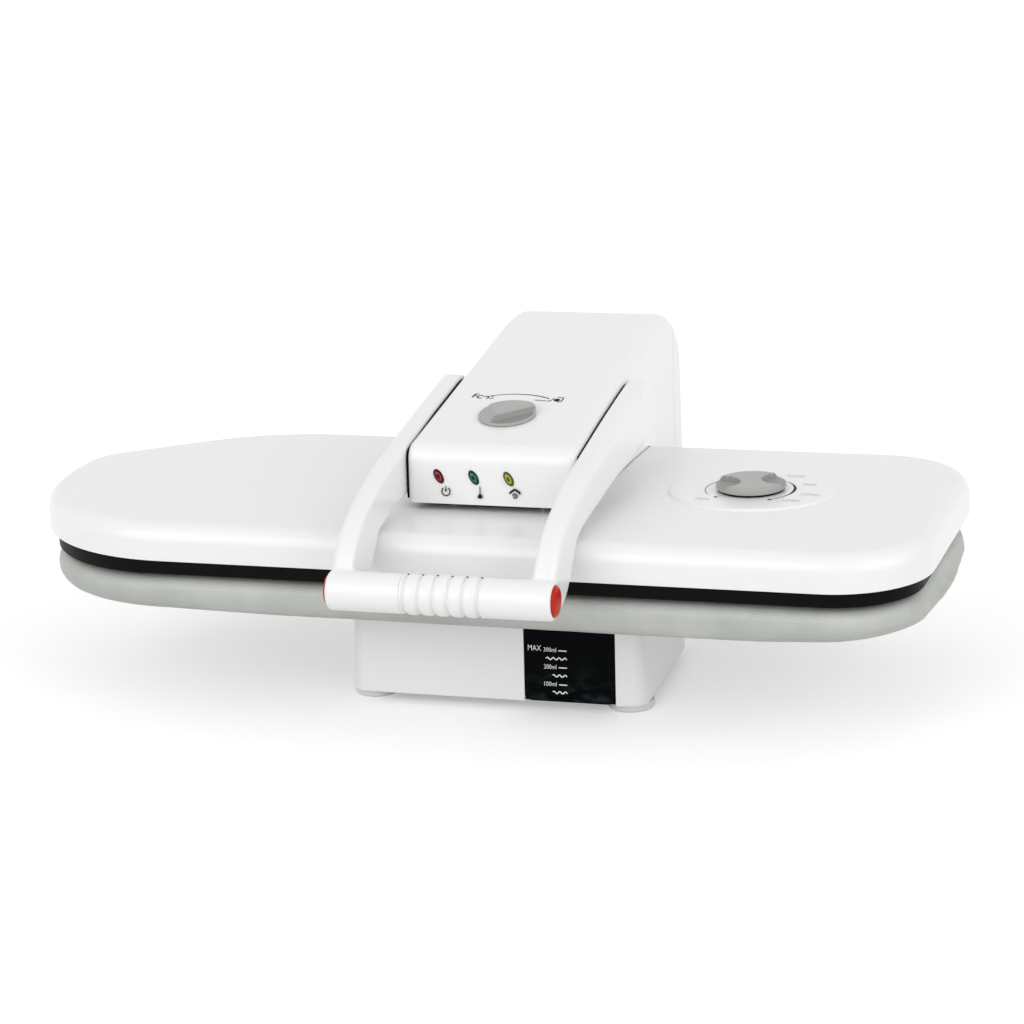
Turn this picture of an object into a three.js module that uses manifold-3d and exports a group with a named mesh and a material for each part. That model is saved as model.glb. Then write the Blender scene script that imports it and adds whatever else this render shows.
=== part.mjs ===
// Steam ironing press in millimetres: X runs along the plates, Y to the back, Z up, with the floor at Z 0.
import * as THREE from "three";
import { mergeVertices } from "three/addons/utils/BufferGeometryUtils.js";
import Module from "manifold-3d";

const wasm = await Module();
wasm.setup();

// General clearances
const SEAT = 0.3;
const SLIDE = 0.5;
const PASS = 6;
const WELD = 0.001;
const CORNER_STEPS = 8;
const FINE_STEPS = 10;
const ROUND_SIDES = 20;
const HOSE_SIDES = 8;
const PIN_SIDES = 16;
const CAP_SIDES = 28;
const KNOB_SIDES = 36;

// Upper plate in plan: corner x, corner y, corner radius
const PLATE_PLAN = [
  [316.5, -125, 64],
  [316.5, 136, 66],
  [-211, 136, 120],
  [-322.2, 50, 60],
  [-322.2, -125, 110],
];
// The board and all that lies under the cover stop short of its ends
const BOARD_PLAN = [
  [312.5, -124, 60],
  [312.5, 135, 62],
  [-210, 135, 118],
  [-318, 49.5, 58],
  [-318, -124, 106],
];
const LEAST_CORNER = 2;

// Base, head and handle share this centre plane
const CENTRE = 17;

// Base housing
const BASE = { mid: 15.3, half: 106.7, front: -72, back: 212, bottom: 6, top: 72, corner: 14, wall: 2.8 };
// Behind the step the housing runs on as a narrower neck under the hinge
const BASE_STEP = { taper: 6.4, y: 66, inset: 28.7, corner: 8, neckCorner: 2.5 };
const BASE_SIDE = [
  [0, 6],
  [3, 58],
  [4.6, 64.5],
  [8, 69.6],
  [13, 72],
];
const BASE_SHEET = 2;
const FOOT = { radius: 16, height: 5.7, edge: 1.2, frontInset: 20, backInset: 22, proud: 0.5 };
FOOT.front = BASE.half - FOOT.radius + FOOT.proud;
FOOT.back = BASE.half - BASE_STEP.inset - FOOT.radius + FOOT.proud;

const BASE_LEFT = BASE.mid - BASE.half;
const BASE_RIGHT = BASE.mid + BASE.half;
const NECK_LEFT = BASE_LEFT + BASE_STEP.inset;

// Water tank and its bay
const TANK_EDGE = 20.8;
const TANK_WIDE = 64.4;
const TANK_REBATE = 4.7;
const TANK_RIGHT = BASE_RIGHT - TANK_EDGE;
const TANK_LEFT = TANK_RIGHT - TANK_WIDE;
const TANK_MID = (TANK_LEFT + TANK_RIGHT) / 2;
const TANK = { x: [TANK_LEFT, TANK_RIGHT], z: [6.5, 60], plate: 2.6, floor: 10.6, top: 54, wall: 2, back: 46 };
TANK.body = [TANK_LEFT + TANK_REBATE, TANK_RIGHT - TANK_REBATE];
const TANK_LEAN = 3;
const TANK_CORNER = 5;
const LID = { thick: 2, holeX: TANK_MID, holeY: -40, hole: 11 };
const PLUG = { head: 14, headThick: 2, stem: 10.6, stemLength: 7 };
const BAY = { wall: 1.8, floor: 8.3, top: 66, front: -57, back: 49.8 };
const COUPLER = { x: TANK_MID, z: 18, radius: 5, start: TANK.back + SEAT, end: 62, flange: 8 };
COUPLER.flangeAt = [BAY.back + SEAT, BAY.back + COUPLER.flange * 0.4];
const OUTLET = 3;

// Pump, hoses, circuit board, inlet
const PUMP_MID = CENTRE - 17;
const PUMP = { x: [PUMP_MID - 22, PUMP_MID + 22], y: [72, 132], z: [8.3, 24], motor: 15, motorX: PUMP_MID, motorZ: 30 };
const PUMP_INLET = { y: 96, z: 20, reach: 6, radius: 4 };
const HOSE_RADIUS = 3;
const SUCTION_END = PUMP.x[1] + PUMP_INLET.reach + SEAT;
const SUCTION_LINE = [
  [TANK_MID, COUPLER.end + SEAT, COUPLER.z],
  [TANK_MID, 78, COUPLER.z],
  [TANK_MID - 7, 92, 19],
  [(TANK_MID + SUCTION_END) / 2, PUMP_INLET.y, PUMP_INLET.z],
  [SUCTION_END, PUMP_INLET.y, PUMP_INLET.z],
];
const DECK_HOLE = { y: 153.5, radius: 8 };
const pcbSpan = ({ inset, wide }) => [BASE_LEFT + inset, BASE_LEFT + inset + wide];
const BOARD_PCB = { inset: 12, wide: 42, y: [-54, 56], z: [11, 12.6] };
BOARD_PCB.x = pcbSpan(BOARD_PCB);
const PCB_PARTS = {
  filter: { inset: 16, wide: 16, y: [-44, -20], z: [12, 30] },
  relay: { inset: 36, wide: 14, y: [-40, -22], z: [12, 22] },
  supply: { inset: 18, wide: 26, y: [0, 34], z: [12, 34] },
  terminals: { inset: 22, wide: 26, y: [38, 52], z: [12, 20] },
};
const PCB_POST = { radius: 4, inset: 6, bottom: 8.3 };
const INLET = { inset: 20, wide: 34, z: [18, 44], flange: 4, pocket: 4, depth: 18, deep: 22, proud: 1.8 };
INLET.x = [NECK_LEFT + INLET.inset, NECK_LEFT + INLET.inset + INLET.wide];
INLET.body = [BASE.back - INLET.deep, BASE.back];
INLET.face = BASE.back + INLET.proud;
const INLET_PIN = { half: 1.6, high: 3, reach: 13, spread: 7 };
const INLET_PAD = { y: [BASE.back - 9, BASE.back], margin: 5 };

// Hinge and its tower
const HINGE = { y: 170, z: 155 };
const TOWER = { half: 42, wall: 2, arch: 29, slopeTop: 107.5, slopeEnd: 80, neck: 171.5, bottom: 72.3, split: 184 };
const CHEEK = { inner: 36.7, outer: 39.7, boss: 20, front: 146, back: 168 };
const SHAFT = { radius: 6, half: 52, rightHalf: 48.5, bore: 2.2 };
const BUSHING = { radius: 9, inner: 6.3, from: 36, to: 44.7 };
const SPRING = { radius: 7.7, wire: 1.1, turns: 4, from: 12, to: 33 };
const SWIVEL = { half: 6, radius: 11, inner: 6.3, barb: 4, barbEnd: 137.5 };
const FEED_LINE = [
  [PUMP_MID, 110, PUMP.motorZ + PUMP.motor + SLIDE],
  [PUMP_MID, 110, 50],
  [PUMP_MID + 1, 116, 56],
  [CENTRE - 9, 138, 61],
  [CENTRE, 152, 68],
  [CENTRE, 155, 84],
  [CENTRE, 160, 112],
  [CENTRE, HINGE.y - SLIDE, 126],
  [CENTRE, HINGE.y, 132],
  [CENTRE, HINGE.y, SWIVEL.barbEnd - SEAT],
];

// Lower board
const BRACKET = { x: [-60, 94], y: [-50, 85], z: [72.3, 77], bar: 16 };
const TRAY = { bottom: 77.3, sheet: 1.2, rim: 84, inset: 7 };
const PAD_RINGS = [
  [8.6, 78.8],
  [8.6, 89],
  [10.5, 93.6],
  [14.8, 96],
  [24, 96.9],
];
const COVER_OUTER = [
  [46, 73.2],
  [12, 73.2],
  [5.6, 74.8],
  [2.4, 78.6],
  [1, 84],
  [1.2, 89.3],
  [3.4, 93.6],
  [8, 96.8],
  [15, 98.2],
  [34, 98.6],
];
const COVER_INNER = [
  [24, 97.4],
  [14, 96.6],
  [9, 94],
  [6.7, 88.6],
  [6.7, 77],
  [46, 77],
];
const BOARD_TOP = 98.7;

// Upper plate
const HOT = { bottom: BOARD_TOP + SEAT, thick: 6, inset: 8.6, edge: 1.5 };
HOT.top = HOT.bottom + HOT.thick;
const ON_HOT = HOT.top + SEAT;
const STEAM_HOLE = { radius: 3.2, sides: 8, spotsX: [-230, -150, -70, 110, 240], spotsY: [-45, 45] };
const BAND = { outer: 2, bottom: HOT.bottom + SEAT, tall: 9.8, lip: 19, lipBottom: ON_HOT, inner: HOT.inset - SEAT };
BAND.top = BAND.bottom + BAND.tall;
const SHELL_FOOT = BAND.top + SEAT;
// The cover's outer and inner faces: inset and rise above its foot
const SHELL_OUTER = [
  [0, 0],
  [0, 13.1],
  [0.95, 17.9],
  [3.66, 21.9],
  [7.7, 24.7],
  [12.5, 25.65],
  [32, 26.7],
  [55, 27.5],
];
const SHELL_INNER = [
  [55, 25],
  [32, 24.2],
  [12.5, 23.1],
  [5.4, 20.2],
  [2.5, 13.1],
  [2.5, 3.6],
  [10, 2.2],
  [10, 0],
];
const SHELL_RISE = 28;
const SHELL_TOP = SHELL_FOOT + SHELL_RISE;
const WELL = { x: [-33, 67], y: [-52, 116] };
const WELL_CORNER = 8;
const DIAL = { x: 178.5, y: 12, halfX: 59, halfY: 50, base: SHELL_TOP - 2.8, top: SHELL_TOP + 1, slope: 3 };
const DIAL_KNOB = { x: 178, y: 11.7, radius: 24, gap: 1.4, tall: 5.2, edge: 1.5, scoop: 15, ridge: 7, turn: 20 };
DIAL_KNOB.bottom = DIAL.top + DIAL_KNOB.gap;
DIAL_KNOB.top = DIAL_KNOB.bottom + DIAL_KNOB.tall;
DIAL_KNOB.floor = DIAL_KNOB.top - 2.6;
const THERMOSTAT = { radius: 14, z: [ON_HOT, DIAL.top - 8.4], foot: 18, footTop: ON_HOT + 3.7 };
const SPINDLE = { radius: 4, hole: 4.6, bottom: THERMOSTAT.z[1] + SEAT };
const ELEMENT = { radius: 4 };
ELEMENT.z = ON_HOT + ELEMENT.radius;
const ELEMENT_LINE = [
  [235, -72],
  [0, -72],
  [-205, -72],
  [-248, -50],
  [-262, -10],
  [-240, 35],
  [-190, 78],
  [-130, 102],
  [0, 102],
  [232, 102],
];
const STEAMER = { x: [76, 142], y: [16, 72], z: [ON_HOT, ON_HOT + 13.7], lidTall: 3, lidInset: 5 };
const PLATE_HOSE = 2.6;
const PLATE_HOSE_LINE = [
  [66, 170, 155],
  [68.2, 169.6, 155],
  [70.2, 167.6, 155],
  [70.8, 163, 155],
  [70.8, 140, 155],
  [70.8, 90, 151],
  [70.6, 62, 146],
  [66, 50, 142],
  [57, 46, 139],
  [55, 45, 128],
  [59, 45, 115],
  [68, 45, 113],
  [75.6, 45, 113],
];

// Steel frame in the head
const ARM = { inner: 45, outer: 48 };
const ARM_SIDE = [
  [-32, 146, 3],
  [120, 146, 12],
  [152, 137, 12],
  [188, 137, 14],
  [188, 173, 14],
  [140, 176, 20],
  [88, 190.5, 8],
  [48, 190.5, 8],
  [-32, 168, 3],
];
const CROSS = { y: [100, 103], z: [150, 182] };
const YOKE = { foot: ON_HOT, sheet: 2, upright: 32, flange: 48, front: [-50, -30], back: [70, 92] };
YOKE.top = ARM_SIDE[0][1] - SEAT;

// Head casing
const HEAD = { half: 59.5, wall: 2.5, back: 229.5, seam: 198, bottom: 108, frontCorner: 5, backCorner: 14 };
const HEAD_SIDE = [
  [-70.2, 108, 1],
  [229.5, 108, 1],
  [229.5, 219, 46],
  [165, 217.7, 150],
  [118, 210, 60],
  [-63.3, 180.1, 13],
];
const HEAD_UNDER = [
  [-90, 141.9],
  [100, 139.9],
  [122, 138.8],
  [130.5, 136.6],
  [136.6, 131],
  [139.5, 123],
  [139.5, 90],
  [-90, 90],
];
const HEAD_TOPS = [
  [-80, 177.3, 5],
  [-40, 183.9, 6],
  [118, 210, 10],
  [165, 217.8, 11],
  [240, 219.8, 12],
];
const HEAD_FLOOR = 100;
const RIB = { from: 43, to: 50, mid: [52, 84], midBottom: 190.8, front: [-34, -29], frontBottom: 169.6 };
const RIB_BACK = { y: [176, 186], bottom: 174.1 };
const FACE_BOSS = { radius: 3, spotsX: [-34, 44], z: 172, back: -55.3 };

// Panel knob and the switch under it
const PANEL = { x: 12.5, y: -8, slope: 0.165, foldY: -56.6, foldZ: 181.2 };
const PANEL_Z = PANEL.foldZ + PANEL.slope * (PANEL.y - PANEL.foldY);
const PANEL_TILT = THREE.MathUtils.radToDeg(Math.atan(PANEL.slope));
const PANEL_KNOB = { radius: 20, lift: 0.4, height: 3.2, edge: 1, gripTop: 6.6 };
// The knob's raised grip in plan: pointed at the front left, broad at the back and right
const KNOB_GRIP = [
  [-7, -16],
  [5.5, -7],
  [17.5, 2.6],
  [14, 11],
  [8, 15.6],
  [0, 17.5],
  [-3.2, 8],
  [-4.8, 0],
  [-5.8, -8],
];
const SELECTOR = { half: 15, depth: 16, under: 2.9, spindle: 3.4, hole: 4 };

// Indicators on the front face
const FRONT = { y: -67, z: 141.6, lean: 0.0957 };
const LENS = { z: 160.3, xs: [-19.8, 5, 29.6], halfLong: 5.2, halfShort: 2.7, tilt: 120, proud: 0.5, back: -55.4 };
const LENS_NAMES = ["lens_power", "lens_heat", "lens_steam"];
const LED_BOARD = { x: [-38, 48], y: [-55, -53.4], z: [150, 175] };

// Handle
const PIVOT = { y: 66, z: 178, radius: 4, hole: 4.3, inner: 43, outer: 66.7, head: 7, headFrom: 41.6 };
const GRIP = { y: -177, z: 112.6, radius: 13.2, armInner: 61, armOuter: 76.5, bevel: 2 };
const GRIP_SIDE = [
  [-177, 125],
  [-168, 137],
  [-155, 148],
  [-136, 158],
  [-96, 171],
  [-54, 179],
  [5, 189.5],
  [60, 197.8],
  [70, 197.6],
  [77, 194.8],
  [81.5, 190],
  [84, 183],
  [84, 165],
  [81, 160.4],
  [33, 152.7],
  [-22, 149.7],
  [-76, 143.2],
  [-96, 140.8],
  [-116, 136.4],
  [-125, 128.8],
  [-137, 115.2],
  [-150, 104.8],
  [-163, 100.6],
  [-177, 100.2],
  [-185.8, 103.8],
  [-189.4, 112.6],
  [-185.8, 121.4],
];
const GROOVE = { count: 6, pitch: 10, mid: 2, half: 1.4, deep: 1.4 };
const BUTTON = { radius: 10.2, well: 10.6, floor: 58, rim: 77, dome: 78.8, back: 69.5, stem: 4, stemEnd: 54 };
Object.assign(BUTTON, { domeRadius: 8.2, domeRise: 1, crownRadius: 4.6, crownDrop: 0.2 });
const BORE = { radius: 4.6, depth: 3 };
const BUTTON_SPRING = { radius: 6.6, wire: 0.6, turns: 3, from: 58.35, to: 66.2 };

// Finishes: colour, metalness, roughness
const FINISH = {
  white: [0xf1f3f5, 0, 0.28],
  black: [0x1b1c1e, 0, 0.45],
  grey: [0x8d9296, 0, 0.4],
  silver: [0xb4b9b4, 0.1, 0.75],
  red: [0xc4161c, 0, 0.3],
  smoke: [0x2b3036, 0, 0.12],
  steel: [0xb9bcc0, 1, 0.35],
  alloy: [0xc3c6c9, 1, 0.3],
  brass: [0xb5985a, 1, 0.35],
  rubber: [0x33363a, 0, 0.8],
  foot: [0xe4e6e8, 0, 0.6],
  foam: [0xd9cfa8, 0, 0.95],
  green: [0x2f6b4a, 0, 0.5],
  lensRed: [0xa01c20, 0, 0.2],
  lensGreen: [0x2c7d68, 0, 0.2],
  lensYellow: [0xa39a3a, 0, 0.2],
};

const QUARTER = 90;
const HALF = 0.5;
const AXIS_TURN = { x: [0, QUARTER, 0], y: [-QUARTER, 0, 0], z: [0, 0, 0] };

// A closed solid from a three.js geometry, turned to face out
function toSolid(geometry) {
  const bare = geometry.index ? geometry.toNonIndexed() : geometry.clone();
  bare.deleteAttribute("normal");
  bare.deleteAttribute("uv");
  const merged = mergeVertices(bare, WELD);
  const faces = new Uint32Array(merged.index.array);
  const build = (triVerts) =>
    new wasm.Manifold(
      new wasm.Mesh({ numProp: 3, vertProperties: merged.attributes.position.array, triVerts }),
    );
  const made = build(faces);
  if (made.volume() > 0) return made;
  for (let i = 0; i < faces.length; i += 3) {
    [faces[i + 1], faces[i + 2]] = [faces[i + 2], faces[i + 1]];
  }
  return build(faces);
}

function toGeometry(solid) {
  const mesh = solid.getMesh();
  const geometry = new THREE.BufferGeometry();
  geometry.setAttribute("position", new THREE.BufferAttribute(mesh.vertProperties, 3));
  geometry.setIndex(new THREE.BufferAttribute(mesh.triVerts, 1));
  return geometry;
}

function block({ x, y, z }) {
  const made = new THREE.BoxGeometry(x[1] - x[0], y[1] - y[0], z[1] - z[0]);
  made.translate((x[0] + x[1]) * HALF, (y[0] + y[1]) * HALF, (z[0] + z[1]) * HALF);
  return toSolid(made);
}

// A profile of [radius, height] pairs spun about one axis through a centre
function turned(profile, axis, centre, sides = ROUND_SIDES) {
  const points = profile.map(([radius, height]) => new THREE.Vector2(radius, height));
  const made = new THREE.LatheGeometry(points, sides);
  made.rotateX(Math.PI * HALF);
  return toSolid(made).rotate(AXIS_TURN[axis]).translate(centre);
}

function rod(axis, centre, radius, from, to, sides = ROUND_SIDES) {
  const profile = [
    [0, from],
    [radius, from],
    [radius, to],
    [0, to],
  ];
  return turned(profile, axis, centre, sides);
}

function shapeOf(points) {
  return new THREE.Shape(points.map(([u, v]) => new THREE.Vector2(u, v)));
}

// An outline in X and Y raised along Z
function raised(points, from, to) {
  const made = new THREE.ExtrudeGeometry(shapeOf(points), { depth: to - from, bevelEnabled: false });
  made.translate(0, 0, from);
  return toSolid(made);
}

// An outline in Y and Z pulled along X, with an optional chamfer
function pulled(points, from, to, bevel = 0) {
  const settings = { depth: to - from - 2 * bevel, bevelEnabled: bevel > 0 };
  Object.assign(settings, { bevelSize: bevel, bevelThickness: bevel, bevelOffset: -bevel, bevelSegments: 2 });
  const made = new THREE.ExtrudeGeometry(shapeOf(points), settings);
  made.translate(0, 0, from + bevel);
  const basis = new THREE.Matrix4().makeBasis(
    new THREE.Vector3(0, 1, 0),
    new THREE.Vector3(0, 0, 1),
    new THREE.Vector3(1, 0, 0),
  );
  made.applyMatrix4(basis);
  return toSolid(made);
}

// Corner points with radii to an outline, drawn in by an inset
function rounded(corners, inset = 0, steps = CORNER_STEPS) {
  const count = corners.length;
  return corners.flatMap(([x, y, radius], i) => {
    const before = corners[(i + count - 1) % count];
    const after = corners[(i + 1) % count];
    const a = new THREE.Vector2(x - before[0], y - before[1]).normalize();
    const b = new THREE.Vector2(after[0] - x, after[1] - y).normalize();
    const turn = Math.atan2(a.cross(b), a.dot(b));
    const side = Math.sign(turn);
    const shift = inset / (1 + a.dot(b));
    const apexX = x - shift * (a.y + b.y);
    const apexY = y + shift * (a.x + b.x);
    const bend = Math.max(radius - side * inset, LEAST_CORNER);
    const tangent = bend * Math.tan(Math.abs(turn) * HALF);
    const midX = apexX - a.x * tangent - a.y * bend * side;
    const midY = apexY - a.y * tangent + a.x * bend * side;
    const start = Math.atan2(-a.x * side, a.y * side);
    return Array.from({ length: steps + 1 }, (_, k) => {
      const angle = start + (turn * k) / steps;
      return [midX + bend * Math.cos(angle), midY + bend * Math.sin(angle)];
    });
  });
}

// Rings of points joined in order, closed by end caps or into a loop
function loft(rings, loop = false) {
  const count = rings[0].length;
  const points = rings.flat();
  const faces = [];
  const join = (lower, upper) => {
    for (let i = 0; i < count; i += 1) {
      const next = (i + 1) % count;
      faces.push(lower * count + i, lower * count + next, upper * count + next);
      faces.push(lower * count + i, upper * count + next, upper * count + i);
    }
  };
  for (let k = 0; k + 1 < rings.length; k += 1) join(k, k + 1);
  if (loop) join(rings.length - 1, 0);
  const cap = (ring, flip, peak) => {
    const mean = [0, 1, 2].map((c) => rings[ring].reduce((sum, p) => sum + p[c], 0) / count);
    if (peak !== undefined) mean[2] = peak;
    points.push(mean);
    const hub = points.length - 1;
    for (let i = 0; i < count; i += 1) {
      const next = (i + 1) % count;
      const [first, second] = flip ? [next, i] : [i, next];
      faces.push(hub, ring * count + first, ring * count + second);
    }
  };
  if (!loop) {
    cap(0, true, rings.peakFirst);
    cap(rings.length - 1, false, rings.peakLast);
  }
  const made = new THREE.BufferGeometry();
  made.setAttribute("position", new THREE.Float32BufferAttribute(points.flat(), 3));
  made.setIndex(faces);
  return toSolid(made);
}

const plateRing = ([inset, z]) => rounded(PLATE_PLAN, inset).map(([x, y]) => [x, y, z]);
const boardRing = ([inset, z]) => rounded(BOARD_PLAN, inset).map(([x, y]) => [x, y, z]);

function hose(line, radius, steps) {
  const path = new THREE.CatmullRomCurve3(line.map((p) => new THREE.Vector3(...p)));
  const ring = Array.from({ length: HOSE_SIDES }, (_, i) => {
    const angle = (i * 2 * Math.PI) / HOSE_SIDES;
    return [radius * Math.cos(angle), radius * Math.sin(angle)];
  });
  const made = new THREE.ExtrudeGeometry(shapeOf(ring), { steps, extrudePath: path, bevelEnabled: false });
  return toSolid(made);
}

// A coil about an X axis through a point
function coil({ radius, wire, turns }, from, to, y, z, stepsPerTurn = 10) {
  const steps = turns * stepsPerTurn;
  const line = Array.from({ length: steps + 1 }, (_, i) => {
    const angle = (i * 2 * Math.PI) / stepsPerTurn;
    const x = from + wire + ((to - from - 2 * wire) * i) / steps;
    return [x, y + radius * Math.cos(angle), z + radius * Math.sin(angle)];
  });
  return hose(line, wire, steps);
}

const group = new THREE.Group();

function add(name, solid, finish) {
  const [color, metalness, roughness] = FINISH[finish];
  const material = new THREE.MeshStandardMaterial({ color, metalness, roughness });
  const mesh = new THREE.Mesh(toGeometry(solid), material);
  mesh.name = name;
  group.add(mesh);
}

const sides = [
  ["left", -1],
  ["right", 1],
];
const across = (sign, near, far) => {
  const ends = [CENTRE + sign * near, CENTRE + sign * far];
  return ends.sort((a, b) => a - b);
};
const wide = (half) => [CENTRE - half, CENTRE + half];

// Base housing, its floor sheet and feet
const basePlan = (inset) => {
  const { mid, half, front, back, corner } = BASE;
  const { taper, y: step, inset: narrow, corner: stepCorner, neckCorner } = BASE_STEP;
  const neck = half - narrow;
  const corners = [
    [mid - half, front, corner],
    [mid + half, front, corner],
    [mid + half - taper, step, stepCorner],
    [mid + neck, step, neckCorner],
    [mid + neck, back, corner],
    [mid - neck, back, corner],
    [mid - neck, step, neckCorner],
    [mid - half + taper, step, stepCorner],
  ];
  return rounded(corners, inset);
};
const baseRing = ([inset, z]) => basePlan(inset).map(([x, y]) => [x, y, z]);
const baseOuter = loft(BASE_SIDE.map(baseRing));
const innerSide = BASE_SIDE.map(([inset, z]) => [inset + BASE.wall, z === BASE.bottom ? z - PASS : z - BASE.wall]);
let baseShell = baseOuter.subtract(loft(innerSide.map(baseRing)));
const tankOpening = raised(
  rounded([
    [TANK.x[0], TANK.z[0] - PASS, TANK_CORNER],
    [TANK.x[1], TANK.z[0] - PASS, TANK_CORNER],
    [TANK.x[1], TANK.z[1], TANK_CORNER],
    [TANK.x[0], TANK.z[1], TANK_CORNER],
  ]),
  0,
  BASE.wall + 2 * PASS + TANK_LEAN,
).rotate(AXIS_TURN.y.map((turn) => -turn));
baseShell = baseShell.subtract(tankOpening.translate([0, BASE.front + BASE.wall + TANK_LEAN + PASS, 0]));
const inletHole = { x: INLET.x, y: [INLET_PAD.y[0] - PASS, BASE.back + PASS], z: INLET.z };
const padX = [INLET.x[0] - INLET_PAD.margin, INLET.x[1] + INLET_PAD.margin];
const padZ = [INLET.z[0] - INLET_PAD.margin, INLET.z[1] + INLET_PAD.margin];
baseShell = baseShell.add(block({ x: padX, y: INLET_PAD.y, z: padZ })).subtract(block(inletHole));
const deckHole = rod("z", [CENTRE, DECK_HOLE.y, 0], DECK_HOLE.radius, BASE.top - PASS, BASE.top + PASS);
baseShell = baseShell.subtract(deckHole);
add("base_shell", baseShell, "white");

const sheetInset = BASE.wall + 3 * SEAT;
const sheetRings = [
  [sheetInset, BASE.bottom],
  [sheetInset + SEAT, BASE.bottom + BASE_SHEET],
];
const baseSheet = loft(sheetRings.map(baseRing));
add("base_bottom", baseSheet, "black");

for (const [row, y] of [
  ["front", BASE.front + FOOT.frontInset],
  ["back", BASE.back - FOOT.backInset],
]) {
  for (const [side, sign] of sides) {
    const x = BASE.mid + sign * FOOT[row];
    const profile = [
      [0, 0],
      [FOOT.radius - FOOT.edge, 0],
      [FOOT.radius, FOOT.edge],
      [FOOT.radius, FOOT.height],
      [0, FOOT.height],
    ];
    add(`foot_${row}_${side}`, turned(profile, "z", [x, y, 0]), "foot");
  }
}

// Tank with its leaning front plate, lid and plug
const frontLean = (z) => BASE.front + (TANK_LEAN * (z - BASE.bottom)) / (BASE_SIDE[1][1] - BASE.bottom);
const tankFrontX = [TANK.x[0] + SEAT, TANK.x[1] - SEAT];
const tankFrontZ = [TANK.z[0] + SEAT, TANK.z[1] - SEAT];
const leanBack = [
  [frontLean(tankFrontZ[0]), tankFrontZ[0]],
  [frontLean(tankFrontZ[0]) + TANK.plate, tankFrontZ[0]],
  [frontLean(tankFrontZ[1]) + TANK.plate, tankFrontZ[1]],
  [frontLean(tankFrontZ[1]), tankFrontZ[1]],
];
const plateFace = rounded([
  [tankFrontX[0], tankFrontZ[0], TANK_CORNER],
  [tankFrontX[1], tankFrontZ[0], TANK_CORNER],
  [tankFrontX[1], tankFrontZ[1], TANK_CORNER],
  [tankFrontX[0], tankFrontZ[1], TANK_CORNER],
]);
const plateCut = raised(plateFace, 0, BASE.wall + PASS + TANK_LEAN)
  .rotate(AXIS_TURN.y.map((turn) => -turn))
  .translate([0, BASE.front + BASE.wall + PASS, 0]);
const tankPlate = pulled(leanBack, tankFrontX[0] - SEAT, tankFrontX[1] + SEAT).intersect(plateCut);
const tankOuter = block({
  x: TANK.body,
  y: [BASE.front + TANK.plate + HALF, TANK.back],
  z: [TANK.floor, TANK.top],
});
const tankInner = block({
  x: [TANK.body[0] + TANK.wall, TANK.body[1] - TANK.wall],
  y: [BASE.front + TANK.plate + TANK_LEAN + HALF, TANK.back - TANK.wall],
  z: [TANK.floor + TANK.wall, TANK.top + PASS],
});
const outlet = rod("y", [COUPLER.x, 0, COUPLER.z], OUTLET, TANK.back - TANK.wall - SEAT, TANK.back + PASS, HOSE_SIDES);
const frontHalfSpace = pulled(
  [
    [frontLean(0), 0],
    [TANK.back + PASS, 0],
    [TANK.back + PASS, BASE.top],
    [frontLean(BASE.top), BASE.top],
  ],
  TANK.x[0] - PASS,
  TANK.x[1] + PASS,
);
const waterTank = tankPlate.add(tankOuter.subtract(tankInner).intersect(frontHalfSpace)).subtract(outlet);
add("water_tank", waterTank, "smoke");

const lidSpan = {
  x: TANK.body,
  y: [frontLean(TANK.top) + TANK.plate + SEAT, TANK.back],
  z: [TANK.top + SEAT, TANK.top + SEAT + LID.thick],
};
const lidHole = rod("z", [LID.holeX, LID.holeY, 0], LID.hole, TANK.top - PASS, TANK.top + PASS);
add("tank_lid", block(lidSpan).subtract(lidHole), "smoke");
const plugSeat = lidSpan.z[1] + SEAT;
const plugProfile = [
  [0, plugSeat - PLUG.stemLength],
  [PLUG.stem, plugSeat - PLUG.stemLength],
  [PLUG.stem, plugSeat],
  [PLUG.head, plugSeat],
  [PLUG.head, plugSeat + PLUG.headThick],
  [0, plugSeat + PLUG.headThick],
];
add("filler_plug", turned(plugProfile, "z", [LID.holeX, LID.holeY, 0]), "rubber");

const bayX = [TANK.body[0] - SLIDE, TANK.body[1] + SLIDE];
const bayOuter = block({
  x: [bayX[0] - BAY.wall, bayX[1] + BAY.wall],
  y: [BAY.front, BAY.back],
  z: [BAY.floor, BAY.top],
});
const bayInner = block({
  x: bayX,
  y: [BAY.front - PASS, BAY.back - BAY.wall],
  z: [BAY.floor + BAY.wall, BAY.top - BAY.wall],
});
const bayPort = rod("y", [COUPLER.x, 0, COUPLER.z], COUPLER.radius + SEAT, TANK.back, BAY.back + PASS);
const behindFront = pulled(
  [
    [frontLean(0) + BASE.wall + SLIDE, 0],
    [BAY.back + PASS, 0],
    [BAY.back + PASS, BASE.top],
    [frontLean(BASE.top) + BASE.wall + SLIDE, BASE.top],
  ],
  bayX[0] - PASS,
  bayX[1] + PASS,
);
add("tank_bay", bayOuter.subtract(bayInner).subtract(bayPort).intersect(behindFront), "black");
const coupler = rod("y", [COUPLER.x, 0, COUPLER.z], COUPLER.radius, COUPLER.start, COUPLER.end).add(
  rod("y", [COUPLER.x, 0, COUPLER.z], COUPLER.flange, ...COUPLER.flangeAt),
);
add("tank_coupler", coupler, "grey");

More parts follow.
